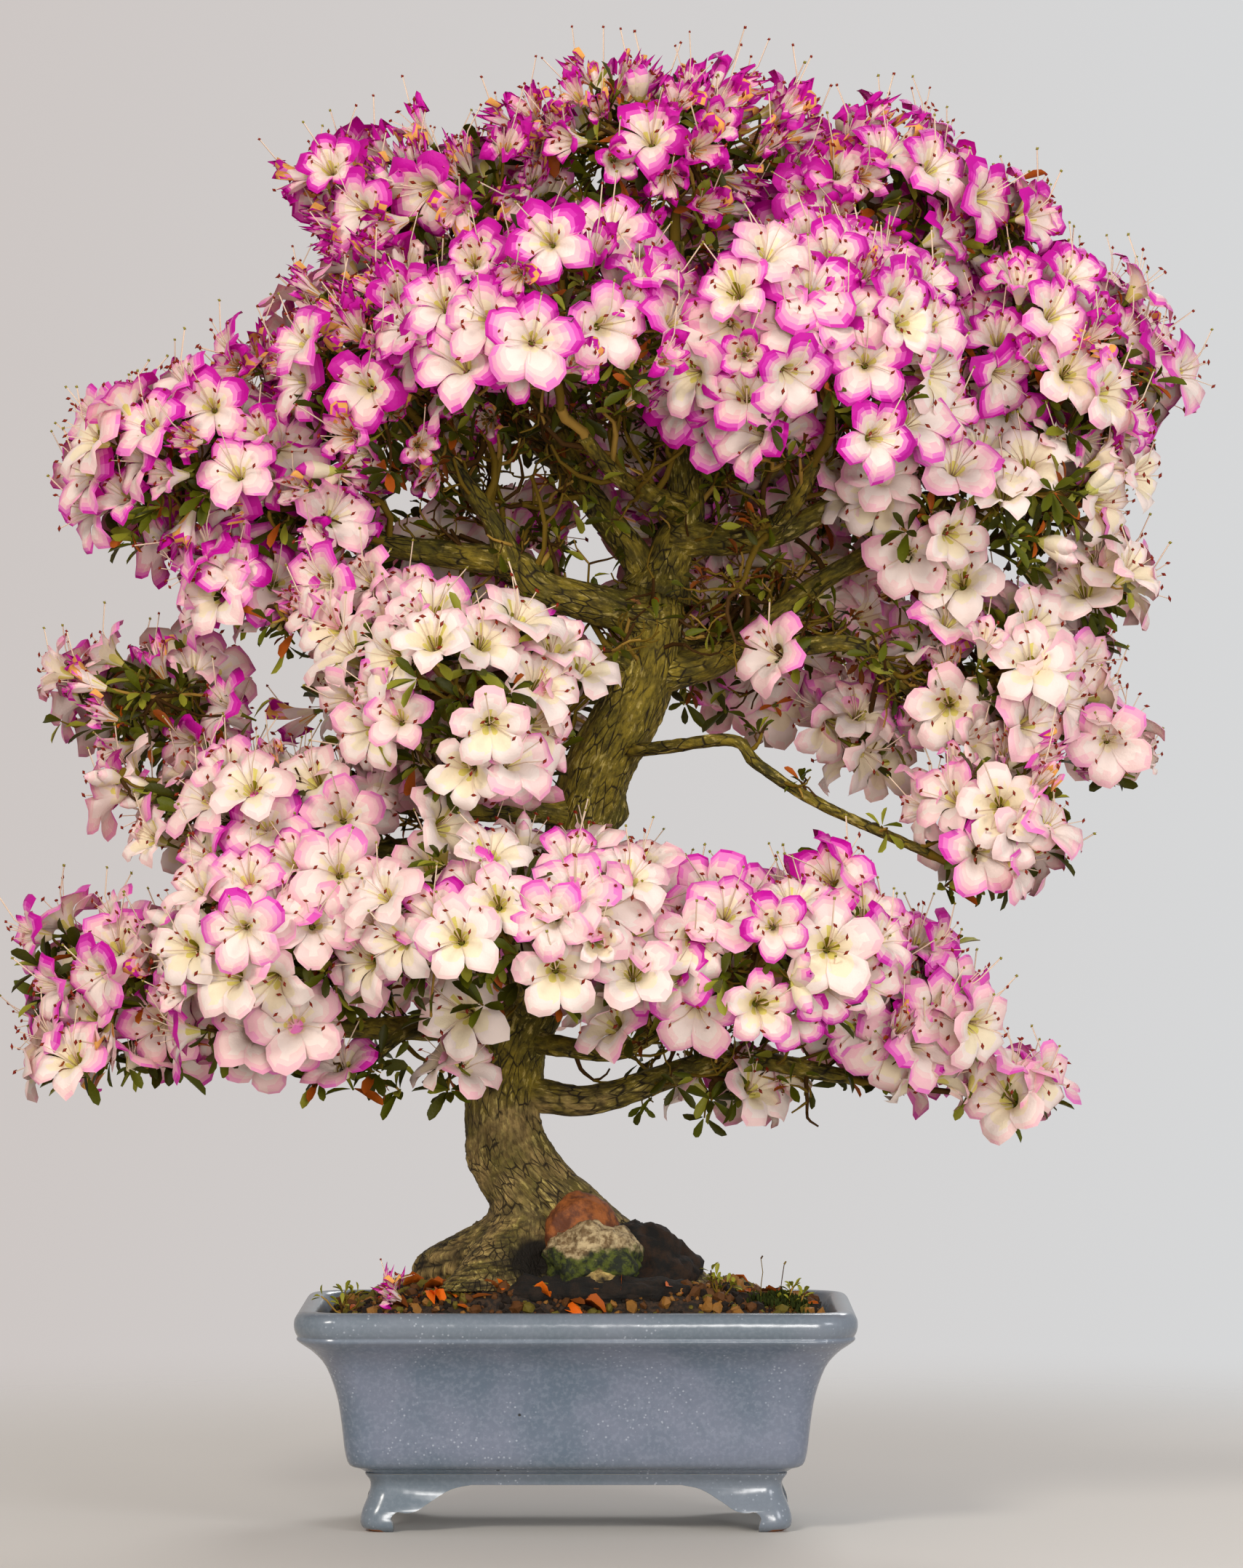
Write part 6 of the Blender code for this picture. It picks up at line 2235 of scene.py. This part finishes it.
@dataclass(frozen=True)
class Soil:
    """The soil: a bed that rises under the trunk, with grains, pebbles and what has fallen on it."""

    shapes: Shapes
    edge: Oblong = Oblong(0.1344, 0.0744, 0.024)
    top: Oblong = Oblong(0.080, 0.057, 0.052)
    heights: tuple[tuple[float, float], ...] = ((0.0, 0.1150), (0.35, 0.1190), (0.72, 0.1262), (1.0, 0.1300))
    bottom: float = 0.100
    roughness: float = 0.0011
    rings: int = 40
    sides: int = 180
    grains: int = 2900
    grain_size: tuple[float, float] = (0.0011, 0.0024)
    pebbles: int = 640
    pebble_size: tuple[float, float] = (0.0024, 0.0048)
    fallen_leaves: int = 80
    fallen_twigs: int = 60
    moss_at: tuple[float, float] = (0.114, -0.046)
    moss_reach: tuple[float, float] = (0.011, 0.007)
    moss_bulge: float = 0.0065
    moss_tufts: int = 420
    seed: int = 5

    def share(self, x: float, y: float) -> float:
        """How far up the mound a place lies, from 0 at the wall to 1 on the level top."""
        low, high = 0.0, 1.0
        for _ in range(14):
            middle = (low + high) / 2
            outline = Oblong(*(outer + middle * (inner - outer) for outer, inner in zip(self.edge, self.top)))
            low, high = (low, middle) if outline.beyond(x, y) > 0 else (middle, high)
        return low

    def height(self, x: float, y: float) -> float:
        """The height of the bed at a place."""
        shares, heights = zip(*self.heights)
        rough = noise.fractal(Vector((x, y, 0)) * 90, 0.8, 2.0, 3)
        return float(np.interp(self.share(x, y), shares, heights)) + self.roughness * rough

    def on_bed(self, x: float, y: float, lift: float = 0.0) -> Vector:
        """The point over a place that lies so far above the bed."""
        return Vector((x, y, self.height(x, y) + lift))

    def bed(self) -> bpy.types.Mesh:
        """The bed as a closed mesh."""
        ring = np.array(self.edge.ring(0.0, 12))[:, :2]
        ring = np.vstack([ring, ring[:1]])
        outline = places_along(ring, np.linspace(0, run_along(ring)[-1], self.sides, endpoint=False))
        points = [(x, y, self.bottom) for x, y in outline]
        for k in range(self.rings):
            size = 1 - k / self.rings
            points += [(x * size, y * size, self.height(x * size, y * size)) for x, y in outline]
        faces = ring_faces(self.rings + 1, self.sides).tolist()
        faces += point_faces(len(points) - self.sides, self.sides, len(points))
        faces.append(range(self.sides)[::-1])
        mesh = new_mesh("soil_bed", [*points, (0.0, 0.0, self.height(0.0, 0.0))], faces)
        mesh.shade_smooth()
        return mesh

    def build(self) -> None:
        """Builds the bed and everything that lies on it."""
        bed = keep("soil_bed", self.bed())
        bed.data.materials.append(Weathered("soil_dark", (66, 46, 28), (24, 18, 12), 330, 0.9).material())
        show(bed, "soil", "soil")
        rng = random.Random(self.seed)
        stones = ShapeSet("stones", [self.stone(k) for k in range(4)], GRAIN_TINTS, len(GRAIN_TINTS) - 1)
        grains = [self.grain(self.grain_size, (9, 9, 2, 2), rng) for _ in range(self.grains)]
        grains += [self.grain(self.pebble_size, (3, 4, 3, 3), rng) for _ in range(self.pebbles)]
        show(stones.grow(grains, "soil_grains"), "soil", "soil")
        litter = Sprays()
        self.add_leaves(litter, rng)
        self.add_moss(litter, rng)
        self.add_blossoms(litter, rng)
        self.add_weeds(litter, rng)
        self.add_twigs(litter, rng)
        show(self.shapes.leaves.grow(litter.leaves, "fallen_leaves"), "blossom", "soil")
        show(self.shapes.heads.grow(litter.heads, "fallen_blossoms"), "blossom", "soil")
        show(litter.twigs.grow(self.shapes.twigs, "fallen_twigs"), "bark", "soil")

    def somewhere(self, rng: random.Random) -> tuple[float, float]:
        """A place inside the bed's outline."""
        while True:
            x = rng.uniform(-1, 1) * self.edge.half_width
            y = rng.uniform(-1, 1) * self.edge.half_depth
            if self.edge.beyond(x, y) < -0.002:
                return x, y

    def grain(self, sizes: tuple[float, float], tints: Sequence[int], rng: random.Random) -> Placed:
        """A grain that lies on the bed.

        Args:
            sizes: the least and the most that its radius may be.
            tints: how common each tint is.
            rng: where the choices come from.

        Returns:
            The grain.
        """
        x, y = self.somewhere(rng)
        size = rng.uniform(*sizes)
        tint = rng.choices(range(4), tints)[0]
        turn = Quaternion([rng.gauss(0, 1) for _ in range(4)]).normalized()
        foot = self.on_bed(x, y, size * rng.uniform(-0.1, 0.5))
        return Placed(foot, turn, size, rng.randrange(4), 0.0, float(tint))

    def stone(self, seed: int) -> bpy.types.Mesh:
        """A stone of unit size, a little flat."""
        shape = bmesh.new()
        bmesh.ops.create_icosphere(shape, subdivisions=1, radius=1)
        for vertex in shape.verts:
            vertex.co *= 1 + 0.55 * noise.noise(vertex.co * 1.9 + Vector((seed * 7.3, 0, 0)))
            vertex.co.z *= 0.7
        mesh = settled(shape, f"stone_{seed}")
        zeros = np.zeros(len(mesh.polygons))
        store(mesh, "FACE", "FLOAT", place=zeros, margin=zeros)
        return mesh

    def add_leaves(self, litter: Sprays, rng: random.Random) -> None:
        """Lays fallen leaves on the bed, half of them along its front."""
        for _ in range(self.fallen_leaves):
            x, y = self.somewhere(rng)
            if rng.random() < 0.5:
                x, y = rng.gauss(-0.01, 0.035), -abs(rng.gauss(0.055, 0.010))
            if self.edge.beyond(x, y) > -0.004:
                continue
            angle = rng.uniform(0, 2 * math.pi)
            way = Vector((math.cos(angle), math.sin(angle), rng.uniform(-0.1, 0.35)))
            over = UP + Vector((rng.gauss(0, 1), rng.gauss(0, 1), 0)) * 0.5
            tint = rng.choice((RUSSET_LEAF, FALLEN_LEAF, FALLEN_LEAF, BROWN_SCALE))
            variant = rng.choice((1, 3, SCALE_LEAF, CURLED_LEAF, CURLED_LEAF))
            litter.add_leaf(self.on_bed(x, y, 0.0022), way, over, rng, variant, tint, 0.9)

    def add_moss(self, litter: Sprays, rng: random.Random) -> None:
        """Adds a cushion of moss near the right end, with three thin seed stalks."""
        (middle_x, middle_y), (wide, deep) = self.moss_at, self.moss_reach
        for _ in range(self.moss_tufts):
            x, y = rng.gauss(middle_x, wide), rng.gauss(middle_y, deep)
            if self.edge.beyond(x, y) > -0.002:
                continue
            bulge = self.moss_bulge * math.exp(-((x - middle_x) ** 2 + (y - middle_y) ** 2) / wide**2)
            way = Vector((rng.gauss(0, 0.6), rng.gauss(0, 0.6), 1))
            litter.add_leaf(self.on_bed(x, y, bulge), way, -UP, rng, SCALE_LEAF, MOSS, 0.5)
        for lean, tall in ((-0.003, 0.027), (0.006, 0.024), (0.011, 0.014)):
            root = Vector((middle_x - 0.010 + lean * 0.4, middle_y, 0.1200))
            end = root + Vector((lean, 0, tall))
            litter.twigs.add(root, end, 0.00028, 0.00022, rng, 0.06)
            litter.twigs.add(end, end + Vector((0.001, 0, 0.0016)), 0.0006, 0.0004, rng, 0.0, 2)

    def add_blossoms(self, litter: Sprays, rng: random.Random) -> None:
        """Lays two spent blossoms on the bed."""
        for x, y in ((-0.103, -0.050), (-0.093, -0.056)):
            way = Vector((rng.uniform(-1, 1), rng.uniform(-1, 0), 0.4)).normalized()
            turn = facing_turn(way, rng.uniform(0, 6))
            litter.heads.append(Placed(self.on_bed(x, y, 0.003), turn, 0.75, WILTED_HEADS[-1], 1.1, 0.0))

    def add_weeds(self, litter: Sprays, rng: random.Random) -> None:
        """Sets three small weeds in the bed."""
        for x, y, count in ((-0.126, -0.046, 7), (0.078, -0.052, 6), (0.118, -0.046, 9)):
            root = self.on_bed(x, y)
            for _ in range(count):
                way = Vector((rng.gauss(0, 0.6), rng.gauss(0, 0.6), 1)).normalized()
                end = root + way * rng.uniform(0.006, 0.016)
                litter.twigs.add(root, end, 0.0006, 0.0004, rng, 0.2)
                litter.add_whorl(end, way, 3, 0.5, 1.2, rng, variant=3, tint=LIGHT_LEAF, size=0.55)

    def add_twigs(self, litter: Sprays, rng: random.Random) -> None:
        """Lays bits of twig on the bed."""
        for _ in range(self.fallen_twigs):
            start = self.on_bed(*self.somewhere(rng), 0.0015)
            angle = rng.uniform(0, 2 * math.pi)
            end = start + Vector((math.cos(angle), math.sin(angle), 0)) * rng.uniform(0.006, 0.022)
            if self.edge.beyond(end.x, end.y) < -0.004:
                end.z = self.height(end.x, end.y) + 0.0018
                litter.twigs.add(start, end, 0.0004, 0.0003, rng, 0.15)


# The stage

@dataclass(frozen=True)
class Stage:
    """A pale floor that fades away, soft light, and the camera at the photograph's angle."""

    eye_distance: float = 3.7
    eye_height: float = 0.4034
    eye_side: float = 0.0245
    lens: float = 155.3
    sensor: float = 36.0
    backdrop: tuple[Colour, Colour] = ((205, 198, 195), (215, 216, 217))
    ambient: float = 0.75
    floor: Colour = (204, 199, 192)
    floor_radius: float = 1.25
    fade: tuple[float, float] = (0.45, 1.2)
    lights: tuple[tuple[str, Point, float, float, Colour], ...] = (
        ("key", (-1.5, -2.5, 2.2), 0.9, 50.0, (255, 250, 242)),
        ("front", (0.5, -3.3, 0.62), 0.8, 34.0, (255, 252, 248)),
        ("fill", (2.2, -2.4, 1.4), 1.2, 30.0, (248, 250, 255)),
        ("back", (0.8, 2.4, 2.2), 1.2, 24.0, (255, 255, 255)),
    )

    def build(self) -> None:
        """Sets up the floor, the light and the camera."""
        scene = bpy.context.scene
        scene.view_settings.view_transform = "Standard"
        scene.view_settings.look = "None"
        scene.world = self.surroundings()
        middle = stand()
        for name, place, size, power, colour in self.lights:
            lamp = bpy.data.lights.new(name, "AREA")
            lamp.shape = "DISK"
            lamp.size = size
            lamp.energy = power
            lamp.color = linear(colour)[:3]
            holder = bpy.data.objects.new(name, lamp)
            holder.location = middle + Vector(place)
            aim = middle + UP * self.eye_height - holder.location
            holder.rotation_euler = aim.to_track_quat("-Z", "Y").to_euler()
            scene.collection.objects.link(holder)
        self.add_floor(middle)
        camera = bpy.data.cameras.new("camera")
        camera.lens = self.lens
        camera.sensor_width = self.sensor
        eye = bpy.data.objects.new("camera", camera)
        eye.location = middle + Vector((self.eye_side, -self.eye_distance, self.eye_height))
        eye.rotation_euler = (math.pi / 2, 0, 0)
        scene.collection.objects.link(eye)
        scene.camera = eye

    def surroundings(self) -> bpy.types.World:
        """A pale backdrop, a little lighter to the right, that gives only a part of its light."""
        world = bpy.data.worlds.new("backdrop")
        world.use_nodes = True
        made = Nodes(world.node_tree)
        place = made.put("ShaderNodeTexCoord", {}, "Generated")
        across = made.put("ShaderNodeMapRange", {
            "Value": made.put("ShaderNodeSeparateXYZ", {0: place}), "From Min": -0.1, "From Max": 0.1})
        seen = made.put("ShaderNodeLightPath", {}, "Is Camera Ray")
        strength = made.put("ShaderNodeMapRange", {"Value": seen, "To Min": self.ambient})
        background = world.node_tree.nodes["Background"].inputs
        made.link(made.mix(across, *self.backdrop), background["Color"])
        made.link(strength, background["Strength"])
        return world

    def add_floor(self, middle: Vector) -> None:
        """Lays the floor, which lets the backdrop through more and more towards its edge."""
        shape = bmesh.new()
        bmesh.ops.create_circle(shape, cap_ends=True, segments=96, radius=self.floor_radius)
        piece = keep("floor", settled(shape, "floor"))
        piece.location = middle
        made = Shading("floor")
        away = made.put("ShaderNodeVectorMath", {0: made.place}, "Value", operation="LENGTH")
        made.link(made.flip(made.ramp(away, *self.fade)), made.shader.inputs["Alpha"])
        piece.data.materials.append(made.finish(self.floor, 0.6))


def stand() -> Vector:
    """The point on the floor under the pot's middle."""
    low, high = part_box("pot")
    return Vector(((low.x + high.x) / 2, (low.y + high.y) / 2, 0))


def main() -> None:
    """Builds every piece in order and finishes the frame."""
    logging.basicConfig(level=logging.INFO, format="%(name)s: %(message)s")
    noise.seed_set(NOISE_SEED)
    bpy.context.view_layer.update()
    limbs = Limbs()
    shapes = Shapes()
    Wood(limbs).build()
    for lump in LUMPS:
        show(keep(lump.name, lump.mesh()), "bark", "trunk")
    Pot().build()
    Soil(shapes).build()
    Crown(limbs, shapes).build()
    Stage().build()


if __name__ == "__main__":
    main()
